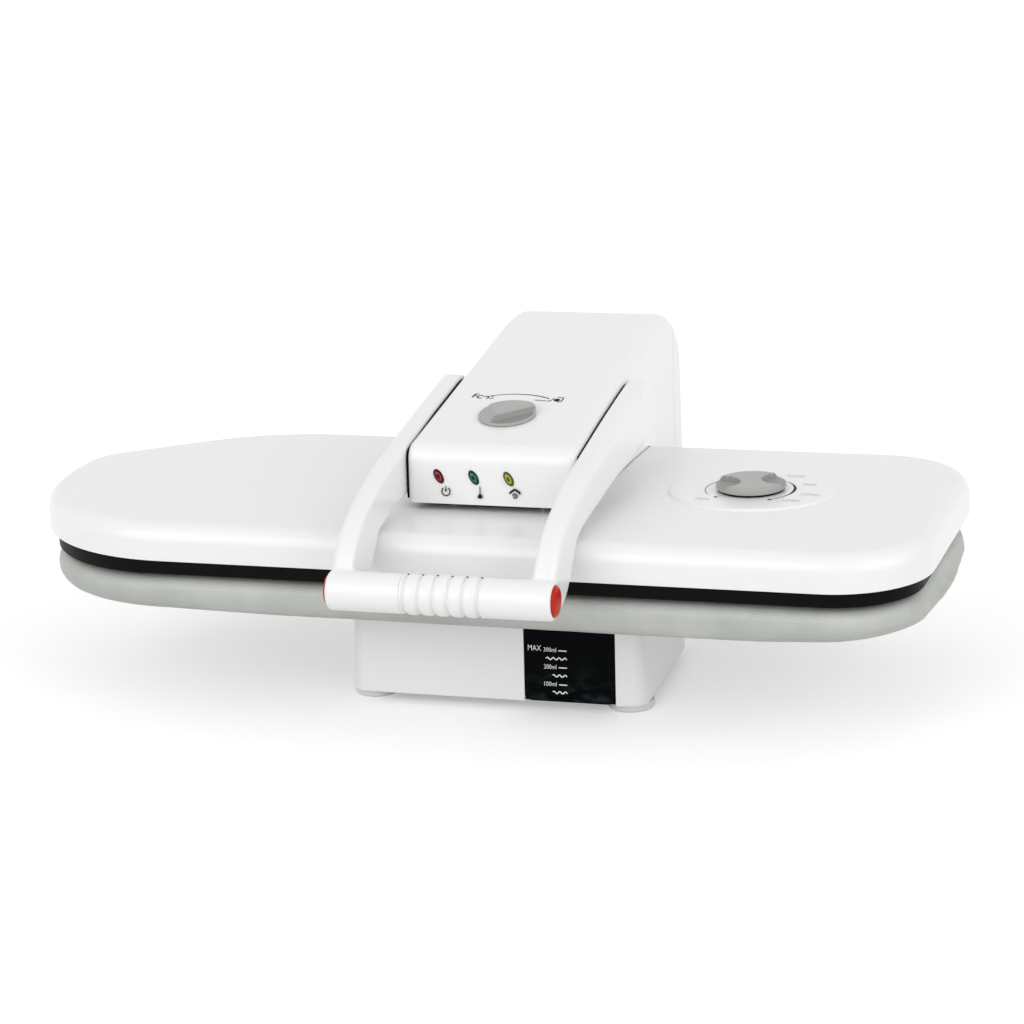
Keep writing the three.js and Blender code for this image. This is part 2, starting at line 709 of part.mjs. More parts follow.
// Pump, hoses, circuit board and power inlet
const pumpMotor = rod("y", [PUMP.motorX, 0, PUMP.motorZ], PUMP.motor, ...PUMP.y);
const pumpPort = { ...PUMP_INLET, x: [PUMP.x[1] - SEAT, PUMP.x[1] + PUMP_INLET.reach] };
const inletNozzle = rod("x", [0, pumpPort.y, pumpPort.z], pumpPort.radius, ...pumpPort.x);
add("water_pump", block(PUMP).add(pumpMotor).add(inletNozzle), "rubber");
add("suction_hose", hose(SUCTION_LINE, HOSE_RADIUS, 20), "foam");
add("feed_hose", hose(FEED_LINE, HOSE_RADIUS, 30), "foam");
let circuit = block(BOARD_PCB);
for (const piece of Object.values(PCB_PARTS)) circuit = circuit.add(block({ ...piece, x: pcbSpan(piece) }));
for (const x of [BOARD_PCB.x[0] + PCB_POST.inset, BOARD_PCB.x[1] - PCB_POST.inset]) {
  for (const y of [BOARD_PCB.y[0] + PCB_POST.inset, BOARD_PCB.y[1] - PCB_POST.inset]) {
    circuit = circuit.add(rod("z", [x, y, 0], PCB_POST.radius, PCB_POST.bottom, BOARD_PCB.z[1], HOSE_SIDES));
  }
}
add("control_board", circuit, "green");
const inletX = [INLET.x[0] + SEAT, INLET.x[1] - SEAT];
const inletZ = [INLET.z[0] + SEAT, INLET.z[1] - SEAT];
const flangeX = [INLET.x[0] - INLET.flange, INLET.x[1] + INLET.flange];
const flangeZ = [INLET.z[0] - INLET.flange, INLET.z[1] + INLET.flange];
let inlet = block({ x: inletX, y: [INLET.body[0], INLET.face], z: inletZ });
inlet = inlet.add(block({ x: flangeX, y: [INLET.body[1] + SEAT, INLET.face], z: flangeZ }));
const pocketX = [inletX[0] + INLET.pocket, inletX[1] - INLET.pocket];
const pocketZ = [inletZ[0] + INLET.pocket, inletZ[1] - INLET.pocket];
inlet = inlet.subtract(block({ x: pocketX, y: [INLET.face - INLET.depth, INLET.face + PASS], z: pocketZ }));
const inletMidX = (INLET.x[0] + INLET.x[1]) * HALF;
const inletMidZ = (INLET.z[0] + INLET.z[1]) * HALF;
for (const shift of [-INLET_PIN.spread, 0, INLET_PIN.spread]) {
  const x = [inletMidX + shift - INLET_PIN.half, inletMidX + shift + INLET_PIN.half];
  const y = [INLET.face - INLET.depth - HALF, INLET.face - INLET.depth + INLET_PIN.reach];
  inlet = inlet.add(block({ x, y, z: [inletMidZ - INLET_PIN.high, inletMidZ + INLET_PIN.high] }));
}
add("power_inlet", inlet, "black");

// Hinge tower
const arc = (radius, from, to, steps = FINE_STEPS) =>
  Array.from({ length: steps + 1 }, (_, i) => {
    const angle = THREE.MathUtils.degToRad(from + ((to - from) * i) / steps);
    return [HINGE.y + radius * Math.cos(angle), HINGE.z + radius * Math.sin(angle)];
  });
const towerSide = (inset, bottom) => [
  [HINGE.y - TOWER.arch + inset, bottom],
  [TOWER.neck - inset, bottom],
  [TOWER.neck - inset, TOWER.slopeEnd],
  [HINGE.y + TOWER.arch - inset, TOWER.slopeTop],
  ...arc(TOWER.arch - inset, 0, 2 * QUARTER),
];
const towerHollow = pulled(towerSide(0, TOWER.bottom), ...wide(TOWER.half)).subtract(
  pulled(towerSide(TOWER.wall, TOWER.bottom - PASS), ...wide(TOWER.half - TOWER.wall)),
);
const bushingHole = rod("x", [CENTRE, HINGE.y, HINGE.z], BUSHING.radius + SEAT, -TOWER.half - PASS, TOWER.half + PASS);
const towerBored = towerHollow.subtract(bushingHole);
const behind = (edge) => ({
  x: wide(TOWER.half + PASS),
  y: [edge, HEAD.back],
  z: [TOWER.bottom - PASS, HINGE.z + TOWER.arch + PASS],
});
add("tower_shell", towerBored.subtract(block(behind(TOWER.split - SEAT))), "white");
add("tower_cover", towerBored.intersect(block(behind(TOWER.split))), "white");

const cheekSide = [
  [CHEEK.front, TOWER.bottom],
  [CHEEK.back, TOWER.bottom],
  [CHEEK.back, TOWER.slopeEnd],
  [HINGE.y + CHEEK.boss, TOWER.slopeTop],
  ...arc(CHEEK.boss, 0, 2 * QUARTER),
  [CHEEK.front + SEAT, HINGE.z - CHEEK.boss],
];
for (const [side, sign] of sides) {
  const cheek = pulled(cheekSide, ...across(sign, CHEEK.inner, CHEEK.outer)).subtract(bushingHole);
  add(`tower_cheek_${side}`, cheek, "steel");
  const ends = across(sign, BUSHING.from, BUSHING.to);
  const ring = rod("x", [0, HINGE.y, HINGE.z], BUSHING.radius, ...ends).subtract(
    rod("x", [0, HINGE.y, HINGE.z], BUSHING.inner, ends[0] - PASS, ends[1] + PASS),
  );
  add(`hinge_bushing_${side}`, ring, "brass");
  const coilEnds = across(sign, SPRING.from, SPRING.to);
  add(`lift_spring_${side}`, coil(SPRING, ...coilEnds, HINGE.y, HINGE.z), "steel");
}
const swivelCentre = [0, HINGE.y, HINGE.z];
let swivel = rod("x", swivelCentre, SWIVEL.radius, ...wide(SWIVEL.half));
swivel = swivel.add(rod("z", [CENTRE, HINGE.y, 0], SWIVEL.barb, SWIVEL.barbEnd, HINGE.z));
swivel = swivel.subtract(rod("x", swivelCentre, SWIVEL.inner, ...wide(SWIVEL.half + PASS)));
add("hose_swivel", swivel, "brass");

// Lower board
const innerX = [BRACKET.x[0] + BRACKET.bar, BRACKET.x[1] - BRACKET.bar];
const innerY = [BRACKET.y[0] + BRACKET.bar, BRACKET.y[1] - BRACKET.bar];
const bracketHole = { x: innerX, y: innerY, z: [BRACKET.z[0] - PASS, BRACKET.z[1] + PASS] };
add("board_bracket", block(BRACKET).subtract(block(bracketHole)), "steel");
const trayRings = [
  [TRAY.inset, TRAY.bottom],
  [TRAY.inset, TRAY.rim],
  [TRAY.inset + TRAY.sheet, TRAY.rim],
  [TRAY.inset + TRAY.sheet, TRAY.bottom + TRAY.sheet],
];
add("board_tray", loft(trayRings.map(boardRing)), "steel");
add("board_pad", loft(PAD_RINGS.map(boardRing)), "foam");
const fabricRings = [...COVER_INNER, ...COVER_OUTER].map(boardRing);
fabricRings.peakLast = BOARD_TOP;
add("board_cover", loft(fabricRings), "silver");

// Upper plate
const hotRings = [
  [HOT.inset + HOT.edge, HOT.bottom],
  [HOT.inset, HOT.bottom + HOT.edge],
  [HOT.inset, HOT.top],
];
let hotPlate = loft(hotRings.map(boardRing));
for (const x of STEAM_HOLE.spotsX) {
  for (const y of STEAM_HOLE.spotsY) {
    const hole = rod("z", [x, y, 0], STEAM_HOLE.radius, HOT.bottom - PASS, HOT.top + PASS, STEAM_HOLE.sides);
    hotPlate = hotPlate.subtract(hole);
  }
}
add("heat_plate", hotPlate, "alloy");
const bandRings = [
  [BAND.outer, BAND.bottom],
  [BAND.outer, BAND.top],
  [BAND.lip, BAND.top],
  [BAND.lip, BAND.lipBottom],
  [BAND.inner, BAND.lipBottom],
  [BAND.inner, BAND.bottom],
];
add("insulating_ring", loft(bandRings.map(boardRing), true), "black");
const shellRings = [...SHELL_INNER, ...SHELL_OUTER].map(([inset, rise]) => plateRing([inset, SHELL_FOOT + rise]));
shellRings.peakLast = SHELL_TOP;
const wellOutline = rounded([
  [WELL.x[0], WELL.y[0], WELL_CORNER],
  [WELL.x[1], WELL.y[0], WELL_CORNER],
  [WELL.x[1], WELL.y[1], WELL_CORNER],
  [WELL.x[0], WELL.y[1], WELL_CORNER],
]);
const ellipseRing = (grow, z) =>
  Array.from({ length: 2 * ROUND_SIDES }, (_, i) => {
    const angle = (i * Math.PI) / ROUND_SIDES;
    const x = DIAL.x + (DIAL.halfX + grow) * Math.cos(angle);
    return [x, DIAL.y + (DIAL.halfY + grow) * Math.sin(angle), z];
  });
const dialBoss = loft([ellipseRing(DIAL.slope, DIAL.base), ellipseRing(0, DIAL.top)]);
const dialHole = rod("z", [DIAL_KNOB.x, DIAL_KNOB.y, 0], SPINDLE.hole, DIAL.base - PASS, DIAL.top + PASS);
const plateShell = loft(shellRings)
  .add(dialBoss)
  .subtract(raised(wellOutline, SHELL_FOOT, SHELL_TOP + PASS))
  .subtract(dialHole);
add("plate_cover", plateShell, "white");
add("heating_element", hose(ELEMENT_LINE.map(([x, y]) => [x, y, ELEMENT.z]), ELEMENT.radius, 34), "steel");
const steamerLid = {
  x: [STEAMER.x[0] + STEAMER.lidInset, STEAMER.x[1] - STEAMER.lidInset],
  y: [STEAMER.y[0] + STEAMER.lidInset, STEAMER.y[1] - STEAMER.lidInset],
  z: [STEAMER.z[1] - SEAT, STEAMER.z[1] + STEAMER.lidTall],
};
add("steam_generator", block(STEAMER).add(block(steamerLid)), "alloy");
const dialCentre = [DIAL_KNOB.x, DIAL_KNOB.y, 0];
const thermostat = rod("z", dialCentre, THERMOSTAT.radius, ...THERMOSTAT.z).add(
  rod("z", dialCentre, THERMOSTAT.foot, THERMOSTAT.z[0], THERMOSTAT.footTop),
);
add("plate_thermostat", thermostat, "steel");
add("plate_hose", hose(PLATE_HOSE_LINE, PLATE_HOSE, 44), "foam");

// Steel frame of the head
const armOutline = rounded(ARM_SIDE, 0, 4);
const shaftHole = rod("x", [0, HINGE.y, HINGE.z], SHAFT.radius + SEAT, ...wide(TOWER.half + TOWER.arch));
const pinHole = rod("x", [0, PIVOT.y, PIVOT.z], PIVOT.hole, ...wide(GRIP.armOuter - GRIP.bevel - SEAT));
for (const [side, sign] of sides) {
  const arm = pulled(armOutline, ...across(sign, ARM.inner, ARM.outer));
  add(`head_arm_${side}`, arm.subtract(shaftHole).subtract(pinHole), "steel");
}
add("cross_plate", block({ x: wide(ARM.inner - SEAT), ...CROSS }), "steel");
const yokeOutline = [
  [-YOKE.upright, YOKE.foot],
  [YOKE.upright, YOKE.foot],
  [YOKE.upright, YOKE.top - YOKE.sheet],
  [YOKE.flange, YOKE.top - YOKE.sheet],
  [YOKE.flange, YOKE.top],
  [YOKE.upright - YOKE.sheet, YOKE.top],
  [YOKE.upright - YOKE.sheet, YOKE.foot + YOKE.sheet],
  [YOKE.sheet - YOKE.upright, YOKE.foot + YOKE.sheet],
  [YOKE.sheet - YOKE.upright, YOKE.top],
  [-YOKE.flange, YOKE.top],
  [-YOKE.flange, YOKE.top - YOKE.sheet],
  [-YOKE.upright, YOKE.top - YOKE.sheet],
];
for (const [name, [near, far]] of [
  ["yoke_front", YOKE.front],
  ["yoke_rear", YOKE.back],
]) {
  const strap = raised(yokeOutline, -far, -near).rotate([QUARTER, 0, 0]).translate([CENTRE, 0, 0]);
  add(name, strap, "steel");
}
const shaftEnds = [CENTRE - SHAFT.half, CENTRE + SHAFT.rightHalf];
const shaftBore = rod("x", [0, HINGE.y, HINGE.z], SHAFT.bore, CENTRE, shaftEnds[1] + PASS, HOSE_SIDES);
const shaftPort = rod("z", [CENTRE, HINGE.y, 0], SHAFT.bore, HINGE.z - SHAFT.radius - PASS, HINGE.z, HOSE_SIDES);
const shaft = rod("x", [0, HINGE.y, HINGE.z], SHAFT.radius, ...shaftEnds);
add("hinge_shaft", shaft.subtract(shaftBore).subtract(shaftPort), "steel");

// Head casing and the cover behind it
function headBody(wall, floor) {
  const side = HEAD_SIDE.map(([y, z, radius]) => [y, z === HEAD.bottom ? floor - wall : z, radius]);
  const silhouette = pulled(rounded(side, wall, FINE_STEPS), ...wide(HEAD.half - wall));
  const half = HEAD.half - wall;
  const sections = HEAD_TOPS.map(([y, top, radius]) => {
    const corners = [
      [CENTRE - half, HEAD_FLOOR - PASS, 1],
      [CENTRE + half, HEAD_FLOOR - PASS, 1],
      [CENTRE + half, top - wall, Math.max(radius - wall, LEAST_CORNER)],
      [CENTRE - half, top - wall, Math.max(radius - wall, LEAST_CORNER)],
    ];
    return rounded(corners, 0, 5).map(([x, z]) => [x, y, z]);
  });
  const front = HEAD_SIDE[0][0] + wall;
  const plan = rounded(
    [
      [CENTRE - half, front, HEAD.frontCorner],
      [CENTRE + half, front, HEAD.frontCorner],
      [CENTRE + half, HEAD.back - wall, Math.max(HEAD.backCorner - wall, LEAST_CORNER)],
      [CENTRE - half, HEAD.back - wall, Math.max(HEAD.backCorner - wall, LEAST_CORNER)],
    ],
    0,
    5,
  );
  const tall = raised(plan, HEAD_FLOOR - 2 * PASS, HINGE.z + 2 * HEAD.half);
  return silhouette.intersect(loft(sections)).intersect(tall);
}
const headOuter = headBody(0, HEAD.bottom);
const headInner = headBody(HEAD.wall, HEAD_FLOOR);
const underCut = pulled(HEAD_UNDER, ...wide(HEAD.half + PASS));
let casing = headOuter.subtract(headInner);
let ribs = null;
const join = (piece) => {
  ribs = ribs ? ribs.add(piece) : piece;
};
for (const [, sign] of sides) {
  const x = across(sign, RIB.from, RIB.to);
  join(block({ x, y: RIB.mid, z: [RIB.midBottom, HINGE.z + HEAD.half] }));
  join(block({ x, y: RIB.front, z: [RIB.frontBottom, HINGE.z + HEAD.half] }));
  join(block({ x, y: RIB_BACK.y, z: [RIB_BACK.bottom, HINGE.z + 2 * HEAD.half] }));
}
for (const x of FACE_BOSS.spotsX) {
  join(rod("y", [x, 0, FACE_BOSS.z], FACE_BOSS.radius, HEAD_SIDE[0][0], FACE_BOSS.back, HOSE_SIDES));
}
casing = casing.add(ribs.intersect(headOuter)).subtract(underCut);
const onPanel = (solid) => solid.rotate([PANEL_TILT, 0, 0]).translate([PANEL.x, PANEL.y, PANEL_Z]);
const lensShape = (grow) =>
  Array.from({ length: ROUND_SIDES }, (_, i) => {
    const angle = (i * 2 * Math.PI) / ROUND_SIDES;
    return [(LENS.halfLong + grow) * Math.cos(angle), (LENS.halfShort + grow) * Math.sin(angle)];
  });
const lensFace = FRONT.y + FRONT.lean * (LENS.z - FRONT.z);
const lensSolid = (x, grow, front, back) =>
  raised(lensShape(grow), -back, -front)
    .rotate([0, 0, LENS.tilt])
    .rotate([QUARTER, 0, 0])
    .translate([x, 0, LENS.z]);
for (const x of LENS.xs) casing = casing.subtract(lensSolid(x, SEAT, lensFace - PASS, LENS.back));
const selectorHole = onPanel(rod("z", [0, 0, 0], SELECTOR.hole, -HEAD.wall - PASS, PASS));
casing = casing.subtract(selectorHole).subtract(pinHole);
const span = HINGE.z * 2;
const ahead = { x: wide(HEAD.half + PASS), y: [-span, HEAD.seam], z: [0, span] };
const rearward = { x: wide(HEAD.half + PASS), y: [HEAD.seam + SEAT, span], z: [0, span] };
add("head_shell", casing.intersect(block(ahead)), "white");
add("rear_cover", casing.intersect(block(rearward)), "white");
LENS.xs.forEach((x, i) => {
  const lens = lensSolid(x, 0, lensFace - LENS.proud, LENS.back);
  add(LENS_NAMES[i], lens, ["lensRed", "lensGreen", "lensYellow"][i]);
});
add("indicator_board", block(LED_BOARD), "green");
const selectorSpan = { x: [-SELECTOR.half, SELECTOR.half], y: [-SELECTOR.half, SELECTOR.half] };
const selectorBody = block({ ...selectorSpan, z: [-SELECTOR.under - SELECTOR.depth, -SELECTOR.under] });
add("steam_selector", onPanel(selectorBody), "black");

// Knobs
const knobTop = PANEL_KNOB.lift + PANEL_KNOB.height;
const knobProfile = [
  [0, -SELECTOR.under + SEAT],
  [SELECTOR.spindle, -SELECTOR.under + SEAT],
  [SELECTOR.spindle, PANEL_KNOB.lift],
  [PANEL_KNOB.radius, PANEL_KNOB.lift],
  [PANEL_KNOB.radius, knobTop - PANEL_KNOB.edge],
  [PANEL_KNOB.radius - PANEL_KNOB.edge, knobTop],
  [0, knobTop],
];
const knobGrip = raised(KNOB_GRIP, knobTop - PANEL_KNOB.edge, PANEL_KNOB.gripTop);
add("panel_knob", onPanel(turned(knobProfile, "z", [0, 0, 0], KNOB_SIDES).add(knobGrip)), "grey");
const dialProfile = [
  [0, SPINDLE.bottom],
  [SPINDLE.radius, SPINDLE.bottom],
  [SPINDLE.radius, DIAL_KNOB.bottom],
  [DIAL_KNOB.radius, DIAL_KNOB.bottom],
  [DIAL_KNOB.radius, DIAL_KNOB.top - DIAL_KNOB.edge],
  [DIAL_KNOB.radius - DIAL_KNOB.edge, DIAL_KNOB.top],
  [0, DIAL_KNOB.top],
];
let dialKnob = turned(dialProfile, "z", dialCentre, KNOB_SIDES);
for (const [, sign] of sides) {
  const offset = sign * (DIAL_KNOB.ridge + DIAL_KNOB.scoop);
  const turn = THREE.MathUtils.degToRad(DIAL_KNOB.turn);
  const spot = [DIAL_KNOB.x + offset * Math.cos(turn), DIAL_KNOB.y + offset * Math.sin(turn), 0];
  dialKnob = dialKnob.subtract(rod("z", spot, DIAL_KNOB.scoop, DIAL_KNOB.floor, DIAL_KNOB.top + PASS));
}
add("thermostat_knob", dialKnob, "grey");

// Handle moulding with its pivots, end buttons and springs
const barEnd = GRIP.armOuter - GRIP.bevel;
const barProfile = [
  [0, -barEnd],
  [GRIP.radius, -barEnd],
];
for (let i = 0; i < GROOVE.count; i += 1) {
  const mid = GROOVE.mid + (i - (GROOVE.count - 1) * HALF) * GROOVE.pitch;
  barProfile.push([GRIP.radius, mid - GROOVE.half]);
  barProfile.push([GRIP.radius - GROOVE.deep, mid - GROOVE.half * HALF]);
  barProfile.push([GRIP.radius - GROOVE.deep, mid + GROOVE.half * HALF]);
  barProfile.push([GRIP.radius, mid + GROOVE.half]);
}
barProfile.push([GRIP.radius, barEnd]);
barProfile.push([0, barEnd]);
let handle = turned(barProfile, "x", [CENTRE, GRIP.y, GRIP.z], CAP_SIDES);
for (const [, sign] of sides) {
  handle = handle.add(pulled(GRIP_SIDE, ...across(sign, GRIP.armInner, GRIP.armOuter), GRIP.bevel));
}
for (const [side, sign] of sides) {
  const well = rod("x", [0, GRIP.y, GRIP.z], BUTTON.well, ...across(sign, BUTTON.floor, BUTTON.rim + PASS), CAP_SIDES);
  const boreEnds = across(sign, BUTTON.stemEnd - BORE.depth, BUTTON.rim);
  const bore = rod("x", [0, GRIP.y, GRIP.z], BORE.radius, ...boreEnds, PIN_SIDES);
  handle = handle.subtract(well).subtract(bore);
  const pin = rod("x", [0, PIVOT.y, PIVOT.z], PIVOT.radius, ...across(sign, PIVOT.inner, PIVOT.outer), PIN_SIDES);
  const headEnds = across(sign, PIVOT.headFrom, ARM.inner - SEAT);
  const head = rod("x", [0, PIVOT.y, PIVOT.z], PIVOT.head, ...headEnds, PIN_SIDES);
  add(`pivot_pin_${side}`, pin.add(head), "steel");
  const cap = [
    [0, BUTTON.stemEnd],
    [BUTTON.stem, BUTTON.stemEnd],
    [BUTTON.stem, BUTTON.back],
    [BUTTON.radius, BUTTON.back],
    [BUTTON.radius, BUTTON.rim],
    [BUTTON.domeRadius, BUTTON.rim + BUTTON.domeRise],
    [BUTTON.crownRadius, BUTTON.dome - BUTTON.crownDrop],
    [0, BUTTON.dome],
  ];
  const profile = cap.map(([radius, reach]) => [radius, sign * reach]);
  add(`steam_button_${side}`, turned(profile, "x", [CENTRE, GRIP.y, GRIP.z], CAP_SIDES), "red");
  const ends = across(sign, BUTTON_SPRING.from, BUTTON_SPRING.to);
  add(`button_spring_${side}`, coil(BUTTON_SPRING, ...ends, GRIP.y, GRIP.z), "steel");
}
add("handle_frame", handle.subtract(pinHole), "white");

// The frame's origin is under the middle of the whole press
group.position.x = -(PLATE_PLAN[0][0] + PLATE_PLAN[3][0]) * HALF;
group.position.y = -(GRIP.y - GRIP.radius + HEAD.back) * HALF;

export default group;
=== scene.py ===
import math

import bmesh
import bpy
from mathutils import Matrix, Vector, noise


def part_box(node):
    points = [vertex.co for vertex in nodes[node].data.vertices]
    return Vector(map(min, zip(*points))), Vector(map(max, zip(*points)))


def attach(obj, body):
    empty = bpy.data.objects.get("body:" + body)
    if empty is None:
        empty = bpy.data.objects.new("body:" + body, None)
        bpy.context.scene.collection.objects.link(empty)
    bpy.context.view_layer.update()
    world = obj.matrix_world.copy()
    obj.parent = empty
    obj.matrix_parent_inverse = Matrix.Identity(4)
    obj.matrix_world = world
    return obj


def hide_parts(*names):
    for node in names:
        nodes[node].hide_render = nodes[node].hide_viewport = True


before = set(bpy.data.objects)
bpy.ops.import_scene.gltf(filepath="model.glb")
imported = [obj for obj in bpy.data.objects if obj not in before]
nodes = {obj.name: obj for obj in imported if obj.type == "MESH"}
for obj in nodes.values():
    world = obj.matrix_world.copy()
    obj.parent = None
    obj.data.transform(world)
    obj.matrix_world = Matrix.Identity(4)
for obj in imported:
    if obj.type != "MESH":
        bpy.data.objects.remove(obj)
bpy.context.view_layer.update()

# Sizes are in millimetres: X along the plates, Y to the back, Z up from the floor
mm = 0.001
middle = 17.0  # base, head and handle are centred on this plane
dialAt = (178.0, 11.7)  # X and Y of the dial on the upper plate
# Plans by their corners: X, Y and radius
platePlan = [
    (316.5, -125, 64), (316.5, 136, 66), (-217.6, 136, 157), (-327.3, 47.8, 48), (-332.4, -125, 126),
]
boardPlan = [(312.5, -124, 60), (312.5, 135, 62), (-210, 135, 118), (-318, 49.5, 58), (-318, -124, 106)]
plateCorner = (-322.2, -125.0)  # the low corner of plate_cover in these sizes
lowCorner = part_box("plate_cover")[0]
toFrame = Vector((lowCorner[0] / mm - plateCorner[0], lowCorner[1] / mm - plateCorner[1], 0.0))


# Two places on X, given by their reach to one side of the middle
def fromMiddle(sign, *reaches):
    return sorted(middle + sign * reach for reach in reaches)


def mix(a, b, share):
    return a + (b - a) * share


def ease(share):
    share = min(max(share, 0.0), 1.0)
    return share * share * (3 - 2 * share)


# The value at a place in a table of rising places
def lookUp(table, place):
    for (low, first), (high, second) in zip(table, table[1:]):
        if place <= high:
            return mix(first, second, min(max((place - low) / (high - low), 0.0), 1.0))
    return table[-1][1]


# A shader socket in sums: each operator adds a Math node
class Wire:
    def __init__(self, finish, socket):
        self.finish = finish
        self.socket = socket

    def maths(self, operation, first, second):
        return self.finish.node("Math", {"operation": operation}, {0: first, 1: second})

    def __add__(self, other):
        return self.maths("ADD", self, other)

    def __radd__(self, other):
        return self.maths("ADD", other, self)

    def __mul__(self, other):
        return self.maths("MULTIPLY", self, other)

    def __rmul__(self, other):
        return self.maths("MULTIPLY", other, self)


# The nodes of a material, or of the world
class Finish:
    def __init__(self, owner):
        self.owner = owner
        owner.use_nodes = True
        self.tree = owner.node_tree
        self.shader = self.tree.nodes.get("Principled BSDF")

    # Any node: its settings are set first, then its sockets get values or links
    def node(self, kind, settings=None, sockets=None, output=0):
        made = self.tree.nodes.new("ShaderNode" + kind)
        for key, value in (settings or {}).items():
            setattr(made, key, value)
        for key, value in (sockets or {}).items():
            self.feed(made.inputs[key], value)
        return Wire(self, made.outputs[output])

    def feed(self, socket, value):
        if isinstance(value, Wire):
            self.tree.links.new(value.socket, socket)
        elif socket.type == "RGBA":
            socket.default_value = (*value, 1.0)
        else:
            socket.default_value = value

    # Sockets of the Principled shader, their names written as baseColor or coatWeight
    def paint(self, **sockets):
        for key, value in sockets.items():
            name = "".join(" " + letter if letter.isupper() else letter for letter in key).strip()
            self.feed(self.shader.inputs[name[0].upper() + name[1:]], value)
        return self

    def grain(self, scale, detail=3.0, stretch=(1.0, 1.0, 1.0)):
        place = self.node("TexCoord", output="Object")
        place = self.node("Mapping", None, {"Vector": place, "Scale": stretch})
        return self.node("TexNoise", None, {"Vector": place, "Scale": scale, "Detail": detail})

    def threads(self, scale, axis):
        place = self.node("TexCoord", output="Object")
        return self.node("TexWave", {"bands_direction": axis}, {"Vector": place, "Scale": scale}, "Fac")

    # How far a value has come from one place to another, held between 0 and 1
    def share(self, value, start, end):
        return self.node("MapRange", None, {"Value": value, "From Min": start, "From Max": end})

    def blend(self, factor, dark, pale):
        return self.node("Mix", {"data_type": "RGBA"}, {"Factor": factor, "A": dark, "B": pale}, "Result")

    def relief(self, height, depth, strength):
        bump = {"Height": height, "Distance": depth, "Strength": strength}
        return self.paint(normal=self.node("Bump", None, bump))


finishes = {}


def newFinish(key, name):
    finishes[key] = Finish(bpy.data.materials.new(name))
    return finishes[key]


# Moulded white: a satin skin with very fine grain and slightly uneven gloss
def whitePlastic(key, name, shade):
    made = newFinish(key, name)
    made.paint(baseColor=shade, coatWeight=0.22, coatRoughness=0.14)
    made.paint(roughness=0.27 + 0.06 * made.grain(14.0))
    made.relief(made.grain(1500.0, 2.0), 0.00003, 0.25)


# One colour with a roughness that wanders between two values
def plainFinish(key, name, shade, low, high, scale=40.0, metal=0.0, specular=0.5):
    made = newFinish(key, name)
    made.paint(baseColor=shade, metallic=metal)
    made.paint(roughness=low + (high - low) * made.grain(scale, 4.0))
    made.feed(made.shader.inputs["Specular IOR Level"], specular)
    return made


whitePlastic("white", "white_plastic", (0.84, 0.845, 0.838))
whitePlastic("tower", "white_tower_plastic", (0.82, 0.825, 0.82))
plainFinish("black", "black_plastic", (0.003, 0.003, 0.0035), 0.38, 0.5, 60.0, specular=0.06)
plainFinish("darkInk", "dark_ink", (0.012, 0.012, 0.013), 0.5, 0.6, specular=0.15)
plainFinish("greyInk", "grey_ink", (0.24, 0.25, 0.26), 0.5, 0.6)
plainFinish("paleInk", "pale_ink", (0.56, 0.57, 0.58), 0.5, 0.6)
plainFinish("whiteInk", "white_ink", (0.78, 0.8, 0.82), 0.45, 0.55)
plainFinish("grey", "grey_plastic", (0.36, 0.37, 0.355), 0.3, 0.42)
# A darker copy of the grey, which paints shade on the knobs' scoops and grip face
plainFinish("shade", "grey_plastic_painted_shade", (0.235, 0.245, 0.23), 0.36, 0.48)
plainFinish("red", "red_plastic", (0.5, 0.02, 0.008), 0.25, 0.34, specular=0.14)
plainFinish("steel", "zinc_steel", (0.56, 0.57, 0.58), 0.26, 0.44, metal=1.0)
plainFinish("alloy", "cast_aluminium", (0.64, 0.65, 0.66), 0.26, 0.4, 30.0, metal=1.0)
plainFinish("brass", "brass_fittings", (0.62, 0.45, 0.18), 0.26, 0.36, 50.0, metal=1.0)
plainFinish("rubber", "dark_rubber", (0.006, 0.006, 0.007), 0.7, 0.85, 80.0, specular=0.1)
plainFinish("foot", "pale_rubber", (0.72, 0.73, 0.72), 0.5, 0.65)
plainFinish("hose", "silicone_hose", (0.68, 0.66, 0.6), 0.42, 0.55)
plainFinish("green", "circuit_board", (0.02, 0.12, 0.055), 0.35, 0.45)
for key, scale, detail, depth in (
    ("grey", 2200.0, 2.0, 0.00004), ("shade", 2200.0, 2.0, 0.00004),
    ("rubber", 900.0, 3.0, 0.0001), ("foot", 900.0, 3.0, 0.00008),
):
    finishes[key].relief(finishes[key].grain(scale, detail), depth, 0.3)


smoke = {
    "dark": (0.001, 0.0015, 0.002), "marked": (0.02, 0.034, 0.034), "film": (55.0, 5.0, (1.0, 1.0, 2.6)),
    "spots": (0.5, 0.72), "fade": (0.034, 0.008),  # the painted reflection fades in over these heights, in metres
}
fabric = {
    "weave": 520.0, "streaks": (9.0, 5.0, (1.0, 1.6, 3.4)), "specks": (60.0, 3.0), "folds": (30.0, 4.0),
    "dark": (0.3, 0.318, 0.29), "pale": (0.62, 0.635, 0.6), "metal": 0.3, "depth": 0.0006,
}


# Smoked tank plastic: near black, with a painted reflection, paler and mottled, towards the bottom
def smokedPlastic():
    made = plainFinish("smoke", "smoked_plastic", smoke["dark"], 0.1, 0.17, 30.0, specular=0.03)
    height = made.node("SeparateXYZ", None, {0: made.node("TexCoord", output="Object")}, "Z")
    low = made.share(height, *smoke["fade"])
    spots = made.share(made.grain(*smoke["film"]), *smoke["spots"])
    # The paler mottled colour near the bottom is painted reflection
    made.paint(baseColor=made.blend(low * spots, smoke["dark"], smoke["marked"]))


